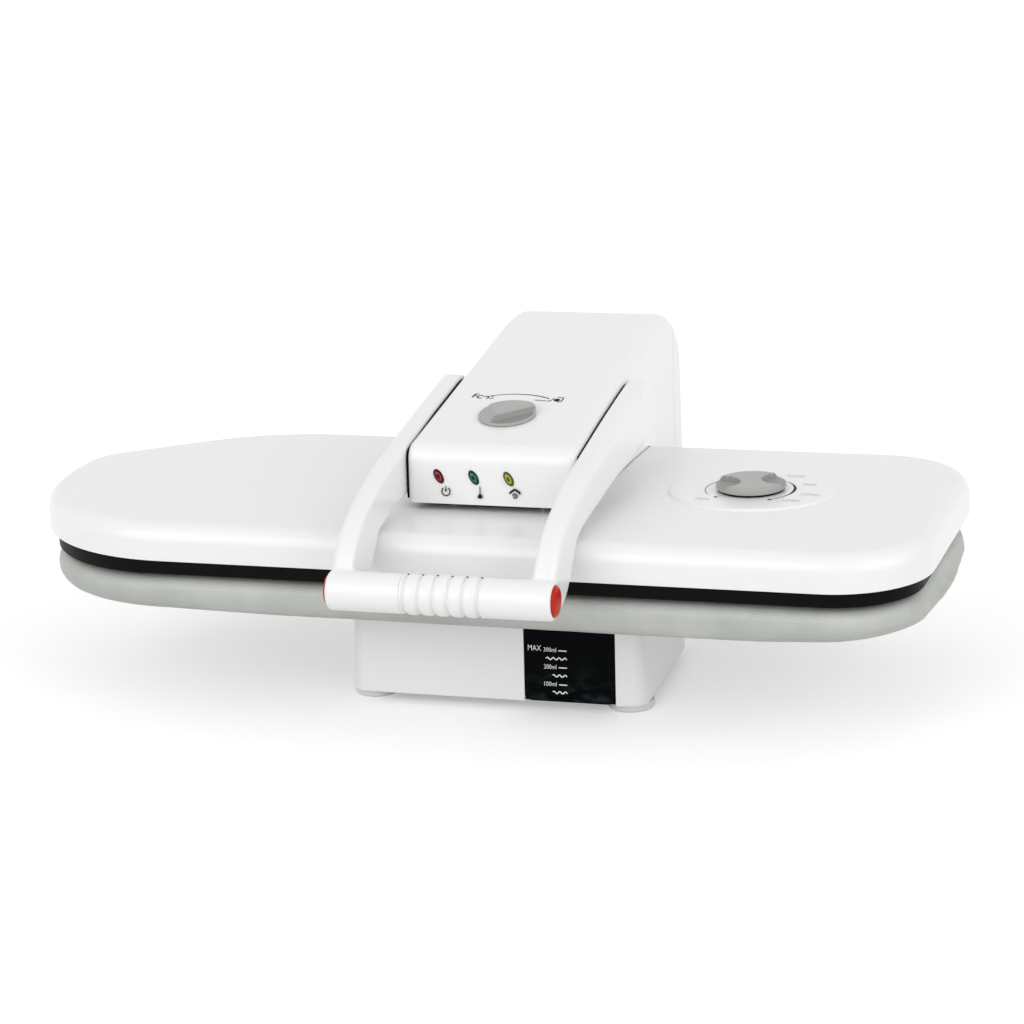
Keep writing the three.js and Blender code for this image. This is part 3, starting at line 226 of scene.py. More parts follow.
# Silver cloth: a fine woven face with soft, streaky shades
def silverCloth():
    made = newFinish("silver", "silver_fabric")
    weave = made.threads(fabric["weave"], "X") * 0.5 + made.threads(fabric["weave"], "Y") * 0.5
    streak = made.grain(*fabric["streaks"]) * 0.7 + made.grain(*fabric["specks"]) * 0.3
    made.paint(metallic=fabric["metal"], roughness=0.38 + 0.2 * streak)
    made.paint(baseColor=made.blend(streak, fabric["dark"], fabric["pale"]))
    made.relief(weave + made.grain(*fabric["folds"]) * 1.5, fabric["depth"], 0.35)


def foamFinish():
    made = newFinish("foam", "foam")
    made.paint(baseColor=(0.62, 0.54, 0.36), roughness=0.95)
    made.relief(made.grain(700.0), 0.0004, 0.6)


# An indicator lens is clear-coated; a darker, duller copy of its colour paints shade on its rim and centre
def lensFinish(key, name, shade, gloss):
    made = plainFinish(key, name, shade, 0.12, 0.2, 300.0, specular=gloss)
    made.paint(coatWeight=gloss, coatRoughness=0.05)


smokedPlastic()
silverCloth()
foamFinish()
# Each lens colour, with a darker copy for the painted shade on rim and centre
for key, core, rim in (
    ("Red", (0.25, 0.018, 0.028), (0.07, 0.002, 0.006)),
    ("Green", (0.012, 0.16, 0.11), (0.002, 0.042, 0.03)),
    ("Yellow", (0.38, 0.36, 0.06), (0.1, 0.095, 0.006)),
):
    lensFinish("lens" + key, "lens_" + key.lower(), core, 0.3)
    lensFinish("rim" + key, "lens_rim_" + key.lower(), rim, 0.1)

# The model's own solids that stay in sight, by finish
shownSolids = {
    "tower": "tower_shell tower_cover",
    "black": "base_bottom tank_bay steam_selector power_inlet",
    "grey": "tank_coupler",
    "smoke": "tank_lid water_tank",
    "foam": "board_pad",
    "steel": (
        "board_bracket board_tray tower_cheek_left tower_cheek_right head_arm_left head_arm_right "
        "cross_plate yoke_front yoke_rear lift_spring_left lift_spring_right hinge_shaft pivot_pin_left "
        "pivot_pin_right button_spring_left button_spring_right heating_element plate_thermostat"
    ),
    "alloy": "steam_generator",
    "brass": "hinge_bushing_left hinge_bushing_right hose_swivel",
    "rubber": "filler_plug water_pump",
    "hose": "suction_hose feed_hose plate_hose",
    "green": "control_board indicator_board",
}
for key, names in shownSolids.items():
    for name in names.split():
        for materialSlot in nodes[name].material_slots:
            materialSlot.material = finishes[key].owner
print("finishes done")


# An outline through corners with radii, drawn in by an inset; small bends get fewer points
def rounded(corners, inset=0.0, steps=26, wide=20.0):
    points = []
    for i, (x, y, radius) in enumerate(corners):
        before = corners[i - 1]
        after = corners[(i + 1) % len(corners)]
        a = Vector((x - before[0], y - before[1])).normalized()
        b = Vector((after[0] - x, after[1] - y)).normalized()
        turn = math.atan2(a.x * b.y - a.y * b.x, a.dot(b))
        side = 1.0 if turn > 0 else -1.0
        shift = inset / (1 + a.dot(b))
        least = 2.0 if radius > 1 else 0.05  # sharp corners stay sharp
        bend = max(radius - side * inset, least)
        tangent = bend * math.tan(abs(turn) / 2)
        midX = x - shift * (a.y + b.y) - a.x * tangent - a.y * bend * side
        midY = y + shift * (a.x + b.x) - a.y * tangent + a.x * bend * side
        start = math.atan2(-a.x * side, a.y * side)
        here = steps if radius > wide else max(6, steps // 3)
        for k in range(here + 1):
            angle = start + turn * k / here
            points.append((midX + bend * math.cos(angle), midY + bend * math.sin(angle)))
    return points


# Long edges split, by the lengths that another outline has
def finer(points, like, span):
    made = []
    for i, (p, q) in enumerate(zip(points, points[1:] + points[:1])):
        parts = max(1, round(math.dist(like[i], like[(i + 1) % len(like)]) / span))
        made += [(mix(p[0], q[0], k / parts), mix(p[1], q[1], k / parts)) for k in range(parts)]
    return made


# A soft curve through a few points
def through(profile, count):
    points = [Vector(p) for p in profile]
    spans = len(points) - 1
    made = []
    for k in range(count + 1):
        i = min(int(k / count * spans), spans - 1)
        u = k / count * spans - i
        p0, p1, p2, p3 = points[max(i - 1, 0)], points[i], points[i + 1], points[min(i + 2, spans)]
        bend = (2 * p0 - 5 * p1 + 4 * p2 - p3) * u * u + (3 * p1 - p0 - 3 * p2 + p3) * u**3
        made.append(tuple(0.5 * (2 * p1 + (p2 - p0) * u + bend)))
    return made


def planRing(plan, inset, z, steps=26):
    return [(x, y, z) for x, y in rounded(plan, inset, steps)]


def chain(bm, points, closed=True):
    verts = [bm.verts.new(point) for point in points]
    return [bm.edges.new((verts[i - 1], verts[i])) for i in range(0 if closed else 1, len(verts))]


# Rings bridged in order: a skin with its ends closed, or a hoop
def skin(rings, hoop=False, ends=(True, True)):
    bm = bmesh.new()
    loops = [chain(bm, ring) for ring in rings]
    for near, far in zip(loops, loops[1:] + (loops[:1] if hoop else [])):
        bmesh.ops.bridge_loops(bm, edges=near + far)
    for loop, closed in zip((loops[0], loops[-1]), ends):
        if closed and not hoop:
            bmesh.ops.contextual_create(bm, geom=loop)
    return bm


# A profile of radius and height spun once round an axis
def spun(profile, axis="z", centre=(0.0, 0.0, 0.0), steps=64):
    bm = bmesh.new()
    edges = chain(bm, [(radius, 0.0, height) for radius, height in profile], closed=False)
    bmesh.ops.spin(
        bm, geom=bm.verts[:] + edges, cent=(0, 0, 0), axis=(0, 0, 1),
        angle=2 * math.pi, steps=steps, use_merge=True,
    )
    turns = {"x": (math.pi / 2, "Y"), "y": (-math.pi / 2, "X"), "z": (0.0, "Z")}
    angle, about = turns[axis]
    bmesh.ops.rotate(bm, verts=bm.verts, cent=(0, 0, 0), matrix=Matrix.Rotation(angle, 3, about))
    bmesh.ops.translate(bm, verts=bm.verts, vec=centre)
    return bm


# A plain rod for bores
def rod(radius, low, high, axis, centre, steps=32):
    return spun([(0, low), (radius, low), (radius, high), (0, high)], axis, centre, steps)


# A box between two places on each axis
def block(x, y, z):
    bm = bmesh.new()
    size = Matrix.Diagonal((x[1] - x[0], y[1] - y[0], z[1] - z[0], 1.0))
    place = Matrix.Translation(((x[0] + x[1]) / 2, (y[0] + y[1]) / 2, (z[0] + z[1]) / 2))
    bmesh.ops.create_cube(bm, size=1.0, matrix=place @ size)
    return bm


# An outline in Y and Z pulled along X
def pulled(points, low, high):
    bm = bmesh.new()
    edges = chain(bm, [(low, y, z) for y, z in points])
    face = bmesh.ops.contextual_create(bm, geom=edges)["faces"]
    made = bmesh.ops.extrude_face_region(bm, geom=face, use_keep_orig=True)["geom"]
    moved = [part for part in made if isinstance(part, bmesh.types.BMVert)]
    bmesh.ops.translate(bm, verts=moved, vec=(high - low, 0, 0))
    return bm


# A side outline made thick along X, its rims rounded by a radius given at each point
def pillow(outline, radii, low, high, steps=8, soft=(1.0, 1.0)):
    count = len(outline)
    if sum(outline[i - 1][0] * outline[i][1] - outline[i][0] * outline[i - 1][1] for i in range(count)) < 0:
        outline = outline[::-1]
        radii = radii[::-1]
    inward = []
    for i in range(count):
        a = (Vector(outline[i]) - Vector(outline[i - 1])).normalized()
        b = (Vector(outline[(i + 1) % count]) - Vector(outline[i])).normalized()
        inward.append(Vector((-a.y - b.y, a.x + b.x)) / max(1 + a.dot(b), 0.3))
    rings = []
    for edge, sign, share in ((low, 1, soft[0]), (high, -1, soft[1])):
        for k in range(steps + 1):
            angle = math.pi / 2 * (k if sign > 0 else steps - k) / steps
            rise, pull = sign * share * (1 - math.cos(angle)), share * (1 - math.sin(angle))
            rings.append([
                (edge + radius * rise, y + normal.x * radius * pull, z + normal.y * radius * pull)
                for (y, z), normal, radius in zip(outline, inward, radii)
            ])
    return skin(rings)


# Several bmeshes as one
def gathered(*parts):
    whole = bmesh.new()
    for part in parts:
        mesh = bpy.data.meshes.new("part")
        part.to_mesh(mesh)
        part.free()
        whole.from_mesh(mesh)
        bpy.data.meshes.remove(mesh)
    return whole


# A piece in the frame's metres, its points merged and its faces turned out
def asObject(bm, name, outward=True, merge=0.002):
    bmesh.ops.remove_doubles(bm, verts=bm.verts, dist=merge)
    if outward:
        bmesh.ops.recalc_face_normals(bm, faces=bm.faces)
    bmesh.ops.translate(bm, verts=bm.verts, vec=toFrame)
    bmesh.ops.scale(bm, verts=bm.verts, vec=(mm, mm, mm))
    mesh = bpy.data.meshes.new(name)
    bm.to_mesh(mesh)
    bm.free()
    obj = bpy.data.objects.new(name, mesh)
    bpy.context.scene.collection.objects.link(obj)
    return obj


# A piece's modifiers made part of its mesh
def settle(obj):
    graph = bpy.context.evaluated_depsgraph_get()
    done = bpy.data.meshes.new_from_object(obj.evaluated_get(graph))
    obj.modifiers.clear()
    old = obj.data
    obj.data = done
    bpy.data.meshes.remove(old)


def combine(obj, bm, operation):
    other = asObject(bm, "tool")
    modifier = obj.modifiers.new("cut", "BOOLEAN")
    modifier.operation = operation
    modifier.solver = "EXACT"
    modifier.object = other
    settle(obj)
    bpy.data.objects.remove(other)


def cut(obj, *parts):
    combine(obj, gathered(*parts), "DIFFERENCE")


def fuse(obj, *parts):
    combine(obj, gathered(*parts), "UNION")


# Smooth faces with sharp edges over an angle, a finish, and the piece's place in the model
def complete(obj, finish, body, replaced=(), sharp=32.0):
    bm = bmesh.new()
    bm.from_mesh(obj.data)
    for face in bm.faces:
        face.smooth = True
    for edge in bm.edges:
        edge.smooth = len(edge.link_faces) == 2 and edge.calc_face_angle(0.0) < math.radians(sharp)
    bm.to_mesh(obj.data)
    bm.free()
    obj.data.materials.clear()
    obj.data.materials.append(finishes[finish].owner)
    weighted = obj.modifiers.new("normals", "WEIGHTED_NORMAL")
    weighted.keep_sharp = True
    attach(obj, body)
    if replaced:
        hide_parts(*replaced)


print("tools ready")

# Upper plate: the white cover with its well for the head and the raised round for the dial
cover = {
    "foot": 109.4, "lip": [(0.5, 0.0), (0.12, 0.15), (0.0, 0.6)], "wall": 13.1,
    "fillet": 12.5, "filletTurn": 86.5, "filletSteps": 12,
    "crown": 2.2, "crownReach": 36.0, "crownInsets": (15, 19, 24, 30, 38, 48, 60, 74, 88),
    "inside": [
        (60, 133.0), (30, 132.2), (13, 131.6), (6, 129), (2.5, 122.5), (2.5, 112.5), (6, 111.4), (6, 109.4),
    ],
    "well": [(-33, -52, 8), (67, -52, 8), (67, 116, 8), (-33, 116, 8)], "wellFrom": 124.0,
}
dialBoss = {
    "x": 178.5, "y": 12.0, "halfX": 55.5, "halfY": 49.0, "slope": 3.4, "foot": 133.5, "low": 135.9,
    "top": 138.4, "shares": (0.0, 0.12, 0.25, 0.38, 0.5, 0.62, 0.75, 0.88, 1.0), "hole": 4.6, "holeFrom": 128.0,
}
cutTop = 150.0  # cuts through the cover end well above it


# Insets and heights: up the inside, round the lip and over the top
def coverProfile():
    foot, fillet = cover["foot"], cover["fillet"]
    shoulder = foot + cover["wall"]
    profile = [(inset, foot + rise) for inset, rise in cover["lip"]] + [(0.0, shoulder)]
    for k in range(1, cover["filletSteps"] + 1):
        angle = math.radians(cover["filletTurn"] * k / cover["filletSteps"])
        profile.append((fillet * (1 - math.cos(angle)), shoulder + fillet * math.sin(angle)))
    edge, top = profile[-1]
    for inset in cover["crownInsets"]:
        profile.append((inset, top + cover["crown"] * (1 - math.exp((edge - inset) / cover["crownReach"]))))
    return cover["inside"] + profile


def ellipse(boss, grow, z, sides=128):
    ring = []
    for i in range(sides):
        angle = 2 * math.pi * i / sides
        x = boss["x"] + (boss["halfX"] + grow) * math.cos(angle)
        ring.append((x, boss["y"] + (boss["halfY"] + grow) * math.sin(angle), z))
    return ring


shell = asObject(skin([planRing(platePlan, inset, z) for inset, z in coverProfile()]), "plate_shell")
bossRings = [ellipse(dialBoss, dialBoss["slope"], dialBoss["foot"])]
for share in dialBoss["shares"]:
    height = mix(dialBoss["low"], dialBoss["top"], ease(share))
    bossRings.append(ellipse(dialBoss, mix(dialBoss["slope"], 0.0, share), height))
fuse(shell, skin(bossRings))
wellOutline = rounded(cover["well"], steps=18)
cut(shell, skin([[(x, y, z) for x, y in wellOutline] for z in (cover["wellFrom"], cutTop)]))
cut(shell, rod(dialBoss["hole"], dialBoss["holeFrom"], cutTop, "z", (*dialAt, 0.0)))
complete(shell, "white", "head", ["plate_cover"], sharp=30)

# Black band and sole plate under it: insets from the board's plan and heights
band = {
    "rings": [
        (2.6, 99.3), (2.0, 99.9), (2.0, 108.6), (2.5, 109.1), (19, 109.1), (19, 105.4), (8.3, 105.4),
        (8.3, 99.3),
    ],
}
bandPiece = asObject(skin([planRing(boardPlan, *ring) for ring in band["rings"]], hoop=True), "plate_band")
complete(bandPiece, "black", "head", ["insulating_ring"])

sole = {
    "rings": [(10.6, 99.0), (9.4, 99.3), (8.7, 100.0), (8.6, 101.0), (8.6, 105.0)],
    "holeRadius": 2.0, "holeHeights": (96.0, 108.0), "holeX": range(-260, 281, 45), "holeY": (-66, -31, 39, 74),
}
solePlate = asObject(skin([planRing(boardPlan, *ring) for ring in sole["rings"]]), "sole_plate")
holes = [(x, y, 0.0) for x in sole["holeX"] for y in sole["holeY"]]
cut(solePlate, *[rod(sole["holeRadius"], *sole["holeHeights"], "z", hole, 12) for hole in holes])
complete(solePlate, "alloy", "head", ["heat_plate"])
print("upper plate done")

# Padded board: silver cloth drawn over the foam and gathered under the rim by its hem
cloth = {
    "profile": [
        (44.5, 76.4), (46.4, 76.2), (46.8, 74.8), (45.6, 73.6), (28, 73.2), (12, 73.4), (6.0, 74.5),
        (3.0, 77.0), (1.4, 80.8), (0.9, 85.5), (1.4, 89.8), (3.4, 93.6), (7.4, 96.7), (14, 98.2),
        (28, 98.55), (60, 98.65), (100, 98.7),
    ],
    "rings": 60, "span": 7.0, "sheet": 0.0012, "gather": 0.75, "gatherReach": 12.0, "waves": 15,
    "crease": 0.3, "creases": 47, "creaseSway": 3, "ripple": 0.16, "ripples": (0.045, 0.045, 0.08),
    "pull": -0.7, "widest": 90.0, "length": 1.8, "outwards": 1.4,  # the last two even out the long plan
    "flare": 7.0, "flareX": (240.0, 60.0), "flareY": 2.0, "flareReach": 66.0, "flareDepth": 14.0,
    "flareTurn": 180,
    "hem": [
        (-322, 2.0), (-270, 1.2), (-200, 0.0), (-120, -1.4), (60, -1.3), (140, -1.6), (212, -1.3),
        (250, 0.4), (300, 3.0),
    ],
    "hemTop": 86.0, "hemReach": 10.0, "sag": 0.12, "sags": 0.02, "sagFrom": 97,
}
clothOutline = rounded(boardPlan, 0.0, 26)


# One ring of the cloth: gathers and creases grow towards the hem, and the right end flares
def clothRing(inset, z):
    ring = []
    flareFrom, flareOver = cloth["flareX"]
    drawn = ease((cloth["widest"] - z) / cloth["gatherReach"])
    flared = cloth["flare"] * ease((cloth["widest"] - z) / cloth["flareDepth"])
    hemmed = ease((cloth["hemTop"] - z) / cloth["hemReach"])
    for x, y in finer(rounded(boardPlan, inset, 26), clothOutline, cloth["span"]):
        angle = math.atan2(y * cloth["length"], x)
        around = Vector((math.cos(angle), math.sin(angle), 0.0)) * cloth["waves"]
        pucker = noise.noise(around + Vector((0, 0, 0.4)))
        crease = abs(math.sin(angle * cloth["creases"] + cloth["creaseSway"] * pucker))
        out = drawn * (cloth["gather"] * pucker + cloth["crease"] * crease)
        out += cloth["ripple"] * noise.noise(Vector((x, y, z)) * Vector(cloth["ripples"]))
        end = ease((x - flareFrom) / flareOver)
        end *= math.exp(-(((y - cloth["flareY"]) / cloth["flareReach"]) ** 2))
        ahead = mix(x, max(x - cloth["flareTurn"], 0) * 2, end)
        way = Vector((ahead, y * cloth["outwards"])).normalized()
        push = way * (out * cloth["pull"] + end * flared)
        sag = cloth["sag"] * (1 + noise.noise(Vector((x * cloth["sags"], y * cloth["sags"], 3.1))))
        drop = sag if z > cloth["sagFrom"] else -lookUp(cloth["hem"], x) * hemmed
        ring.append((x + push.x, y + push.y, z - drop))
    return ring


clothRings = [clothRing(*place) for place in through(cloth["profile"], cloth["rings"])]
board = asObject(skin(clothRings, ends=(False, True)), "board_cloth")
thickness = board.modifiers.new("cloth", "SOLIDIFY")
thickness.thickness = cloth["sheet"]
thickness.offset = -1.0
settle(board)
complete(board, "silver", "base", ["board_cover"], sharp=50)
print("board done")

# Head: a thick side outline with rounded rims, hollowed, then parted at the seam to the rear cover
head = {
    "half": 59.5, "wall": 2.5, "low": 100, "sunk": 12, "seam": 198.0, "seamGap": 0.4,
    "side": [(-70.2, 60, 8), (229.5, 60, 18), (229.5, 219, 46), (165, 217.7, 150), (-63.3, 180.1, 13)],
    "rims": [(-62, 5), (-40, 6), (118, 10), (165, 11), (205, 12), (229, 14)],
    "under": [
        (-90, 141.9), (-34, 140.8), (10, 138.1), (60, 137.7), (100, 136.9), (122, 135.9), (128.9, 134.2),
        (133.6, 130), (136.8, 123.4), (137.1, 108),
        (260, 108), (260, 40), (-90, 40),
    ],
    "ribs": [((52, 84), (190.8, 197.5)), ((-34, -29), (169.6, 183.0)), ((176, 186), (174.1, 210.0))],
    "ribX": (43.0, 50.0), "around": ((-70, 110), (-130, 270), (30, 270)), "steps": 30, "span": 14,
}
pivot = {"y": 66.0, "z": 178.0, "bore": 4.3, "reach": 70}


# The head's form drawn in by a wall; the inner one is sunk at its foot, to run out through the bottom
def headSolid(wall, sunk):
    side = [(y, z - sunk if z < head["low"] else z, radius) for y, z, radius in head["side"]]
    outline = rounded(side, wall, head["steps"])
    outline = finer(outline, outline, head["span"])
    radii = [max(lookUp(head["rims"], y) - wall, 1.0) for y, z in outline]
    return pillow(outline, radii, middle - head["half"] + wall, middle + head["half"] - wall)


aroundX, aroundY, aroundZ = head["around"]  # a box well clear of the casing
casing = asObject(headSolid(0.0, 0.0), "head_casing")
cut(casing, headSolid(head["wall"], head["sunk"]))
cut(casing, pulled(head["under"], *aroundX))
fuse(casing, *[block(fromMiddle(sign, *head["ribX"]), y, z) for sign in (-1, 1) for y, z in head["ribs"]])


# Where marks and fittings sit: u runs along X, v up the sheet, w out of it
def sheetPlace(x, y, z, rise, run):
    u = Vector((1, 0, 0))
    v = Vector((0, run, rise)).normalized()
    return Matrix.Translation((x, y, z)) @ Matrix((u, v, u.cross(v))).transposed().to_4x4()


def laid(bm, place):
    bmesh.ops.transform(bm, matrix=place, verts=bm.verts)
    return bm


panel = {
    "slope": 0.165, "y": -12.0, "z": 188.559, "knobAt": (-4.5, 4.05), "bore": 4.0, "boreEnds": (-8, 6),
}
face = {"y": -67.0, "z": 141.6, "lean": 0.0957}
lens = {
    "x": (-19.8, 5.0, 29.6), "z": 160.3, "long": 5.2, "short": 2.7, "tilt": 120, "gap": 0.3,
    "bore": [(0, -11), (1, -11), (1, 5), (0, 5)],
    "rim": [(0, -8), (1, -8), (1, 0.1), (0.97, 0.35), (0.9, 0.52), (0.8, 0.5), (0.72, 0.3), (0.7, -8)],
    "core": [(0, -8), (0.7, -8), (0.7, 0.1), (0.6, 0.34), (0.42, 0.5), (0.36, 0.5), (0.34, -6)],
    "heart": [(0, -8), (0.3, -8), (0.29, 0.3), (0.16, 0.52), (0, 0.6)],
}
panelPlace = sheetPlace(middle, panel["y"], panel["z"], panel["slope"], 1.0)
facePlace = sheetPlace(0.0, face["y"] + face["lean"] * (lens["z"] - face["z"]), lens["z"], 1.0, face["lean"])


def pivotBore():
    return rod(pivot["bore"], -pivot["reach"], pivot["reach"], "x", (middle, pivot["y"], pivot["z"]))


# A profile spun, then squeezed to the leaning oval of a lens
def lensShape(x, profile, grow=0.0):
    bm = spun(profile, "z", steps=56)
    bmesh.ops.scale(bm, verts=bm.verts, vec=(lens["long"] + grow, lens["short"] + grow, 1.0))
    turn = Matrix.Rotation(math.radians(lens["tilt"]), 3, "Z")
    bmesh.ops.rotate(bm, verts=bm.verts, cent=(0, 0, 0), matrix=turn)
    bmesh.ops.translate(bm, verts=bm.verts, vec=(x, 0, 0))
    return laid(bm, facePlace)


cut(casing, *[lensShape(x, lens["bore"], lens["gap"]) for x in lens["x"]])
cut(casing, laid(rod(panel["bore"], *panel["boreEnds"], "z", (*panel["knobAt"], 0)), panelPlace))
cut(casing, pivotBore())
rear = casing.copy()
rear.data = casing.data.copy()
rear.name = "rear_casing"
bpy.context.scene.collection.objects.link(rear)
cut(casing, block(aroundX, (head["seam"], aroundY[1]), aroundZ))
cut(rear, block(aroundX, (aroundY[0], head["seam"] + head["seamGap"]), aroundZ))
complete(casing, "white", "head", ["head_shell"], sharp=30)
complete(rear, "white", "head", ["rear_cover"], sharp=30)
for x, key, node in zip(lens["x"], ("Red", "Green", "Yellow"), ("lens_power", "lens_heat", "lens_steam")):
    # The rim and the centre take the darker copy, painted shade; the core ring keeps the lens colour
    for part in ("rim", "core", "heart"):
        piece = asObject(lensShape(x, lens[part]), node + "_" + part)
        finish = ("lens" if part == "core" else "rim") + key
        complete(piece, finish, "head", [node])

# Handle: two curved arms and a round bar, blended into one moulding, with a grooved grip at its middle
handle = {
    "inner": 61.0, "outer": 76.5, "edge": 4.6, "edgeSteps": 6, "soft": (0.4, 1.2), "steps": 60,
    "barY": -177.0, "barZ": 112.6,
    "barRadius": 13.2, "round": (268, 94), "roundSteps": 20, "roundInset": 0.4, "nearest": 0.8,
    "bar": [(0, 76.5), (11.4, 76.5), (12.7, 75.9), (13.2, 74.6)],
    "top": [
        (-177, 125), (-168, 137), (-155, 148), (-136, 158), (-96, 171), (-54, 179), (5, 189.5), (60, 197.8),
        (70, 197.6), (77, 194.8), (81.5, 190), (84, 183),
    ],
    "under": [
        (84, 165), (81, 160.4), (33, 152.7), (-22, 149.7), (-76, 143.2), (-96, 140.8), (-116, 136.4),
        (-125, 128.8), (-137, 115.2), (-150, 104.8), (-163, 100.6), (-177, 100.2),
    ],
    "voxel": 0.00105, "quickVoxel": 0.0016, "softening": 6, "quickSoftening": 3,
}
grip = {
    "middle": 19.0, "half": 27.4, "clear": 2, "rim": (0.35, 0.3),
    "grooves": 6, "pitch": 10.0, "deep": 1.7, "wide": 1.9,
    "groove": ((-1, 0.0), (-0.75, 0.25), (-0.2, 0.9), (0.0, 1.0), (0.2, 0.9), (0.75, 0.25), (1, 0.0)),
    "swell": ((0.35, 0.255), (0.5, 0.3), (0.65, 0.255)),
}
button = {
    "profile": [
        (0, 54.0), (4.0, 54.0), (4.0, 69.5), (10.2, 69.5), (10.2, 76.8), (10.0, 77.4), (9.4, 77.9),
        (8.2, 78.25), (6.0, 78.55), (3.0, 78.75), (0, 78.8),
    ],
    "well": 10.6, "wellEnds": (58.0, 90.0), "bore": 4.6, "boreEnds": (51.0, 76.0),
}


# The arm from the side: along its top, back along its underside, and round the bar
def armOutline():
    points = []
    for curve in (handle["top"], handle["under"]):
        points += [(y, z) for y, z, _ in through([(*point, 0) for point in curve], handle["steps"])]
    reach = handle["barRadius"] - handle["roundInset"]
    for k in range(1, handle["roundSteps"]):
        angle = math.radians(mix(*handle["round"], k / handle["roundSteps"]))
        points.append((handle["barY"] + reach * math.cos(angle), handle["barZ"] + reach * math.sin(angle)))
    kept = []
    for point in points:
        if not kept or math.dist(point, kept[-1]) > handle["nearest"]:
            kept.append(point)
    return kept


# A profile of radius and reach spun on the bar's axis
def onBar(profile, x, steps):
    return spun(profile, "x", (x, handle["barY"], handle["barZ"]), steps)


def barBore(radius, low, high, steps=64):
    return rod(radius, low, high, "x", (0, handle["barY"], handle["barZ"]), steps)


barProfile = [(radius, -reach) for radius, reach in handle["bar"]] + handle["bar"][::-1]
moulding = asObject(onBar(barProfile, middle, 96), "handle_moulding")
armSide = armOutline()
armRims = [handle["edge"]] * len(armSide)
for sign in (-1, 1):
    ends = fromMiddle(sign, handle["inner"], handle["outer"])
    fuse(moulding, pillow(armSide, armRims, *ends, handle["edgeSteps"], handle["soft"][::sign]))
melt = moulding.modifiers.new("melt", "REMESH")
melt.mode = "VOXEL"
melt.voxel_size = handle["voxel"]
settle(moulding)
softened = bmesh.new()
softened.from_mesh(moulding.data)
for _ in range(handle["softening"]):
    bmesh.ops.smooth_vert(
        softened, verts=softened.verts, factor=0.5, use_axis_x=True, use_axis_y=True, use_axis_z=True
    )
softened.to_mesh(moulding.data)
softened.free()
for sign in (-1, 1):
    cut(moulding, barBore(button["well"], *fromMiddle(sign, *button["wellEnds"])))
    cut(moulding, barBore(button["bore"], *fromMiddle(sign, *button["boreEnds"]), 24))
cut(moulding, pivotBore())
gripEnds = (grip["middle"] - grip["half"], grip["middle"] + grip["half"])
cut(moulding, barBore(handle["barRadius"] + grip["clear"], *gripEnds))
complete(moulding, "white", "handle", ["handle_frame"], sharp=40)


# The grip's segments swell a little between V grooves
def gripProfile():
    radius, half = handle["barRadius"], grip["half"]
    drawn, back = grip["rim"]
    profile = [(0, -half), (radius - drawn, -half), (radius, -half + back)]
    for i in range(grip["grooves"]):
        groove = (i - (grip["grooves"] - 1) / 2) * grip["pitch"]
        for shift, deep in grip["groove"]:
            profile.append((radius - deep * grip["deep"], groove + shift * grip["wide"]))
        if i < grip["grooves"] - 1:
            profile += [(radius + swell, groove + share * grip["pitch"]) for share, swell in grip["swell"]]
    return profile + [(radius, half - back), (radius - drawn, half), (0, half)]


gripPiece = asObject(onBar(gripProfile(), grip["middle"], 96), "handle_grip")
complete(gripPiece, "white", "handle", ["handle_frame"], sharp=50)
for side, sign in (("left", -1), ("right", 1)):
    profile = [(radius, sign * reach) for radius, reach in button["profile"]]
    cap = asObject(onBar(profile, middle, 72), "button_cap_" + side)
    complete(cap, "red", "button_" + side, ["steam_button_" + side])

# Dark rubber strips in the slits between the head's sides and the arms paint the shadow in the slits
slitShadow = {
    "turn": -44.0, "rear": 80.0, "foot": 143.5, "drop": 2.3, "tall": 7.0, "inset": 3.2,
    "inner": 59.4, "outer": 60.8, "back": [(-61.9, 143.5), (-57.4, 143.5), (-55.6, 164), (-51, 170)],
}


def slitShadowTop(y):
    return lookUp(handle["top"], y) - slitShadow["drop"]


spots = [mix(slitShadow["turn"], slitShadow["rear"], k / 20) for k in range(21)]
headSide = rounded(head["side"], slitShadow["inset"], head["steps"])
corner = [(y, min(z, slitShadowTop(y))) for y, z in headSide if y < slitShadow["turn"] and z > slitShadow["foot"]]
slitShadowSide = [(y, slitShadowTop(y)) for y in spots[::-1]] + corner + slitShadow["back"]
slitShadowSide += [(y, slitShadowTop(y) - slitShadow["tall"]) for y in spots]
for side, sign in (("left", -1), ("right", 1)):
    ends = fromMiddle(sign, slitShadow["inner"], slitShadow["outer"])
    # Each strip is painted shadow in its slit
    strip = asObject(pulled(slitShadowSide, *ends), "slit_shadow_strip_" + side)
    complete(strip, "rubber", "head")
print("head and handle done")


# Knobs: a disc spun from a profile, its top face then raised or sunk by a shape
def knob(profile, top, shape, rings=34, sides=128, skirt=2.6):
    edge = profile[-1][0]
    bm = spun(profile + [(edge * (1 - k / rings), top) for k in range(1, rings + 1)], "z", steps=sides)
    low = top - skirt
    for vert in bm.verts:
        if vert.co.z > low:
            vert.co.z += shape(vert.co.x, vert.co.y) * ease((vert.co.z - low) / (top - low))
    return bm


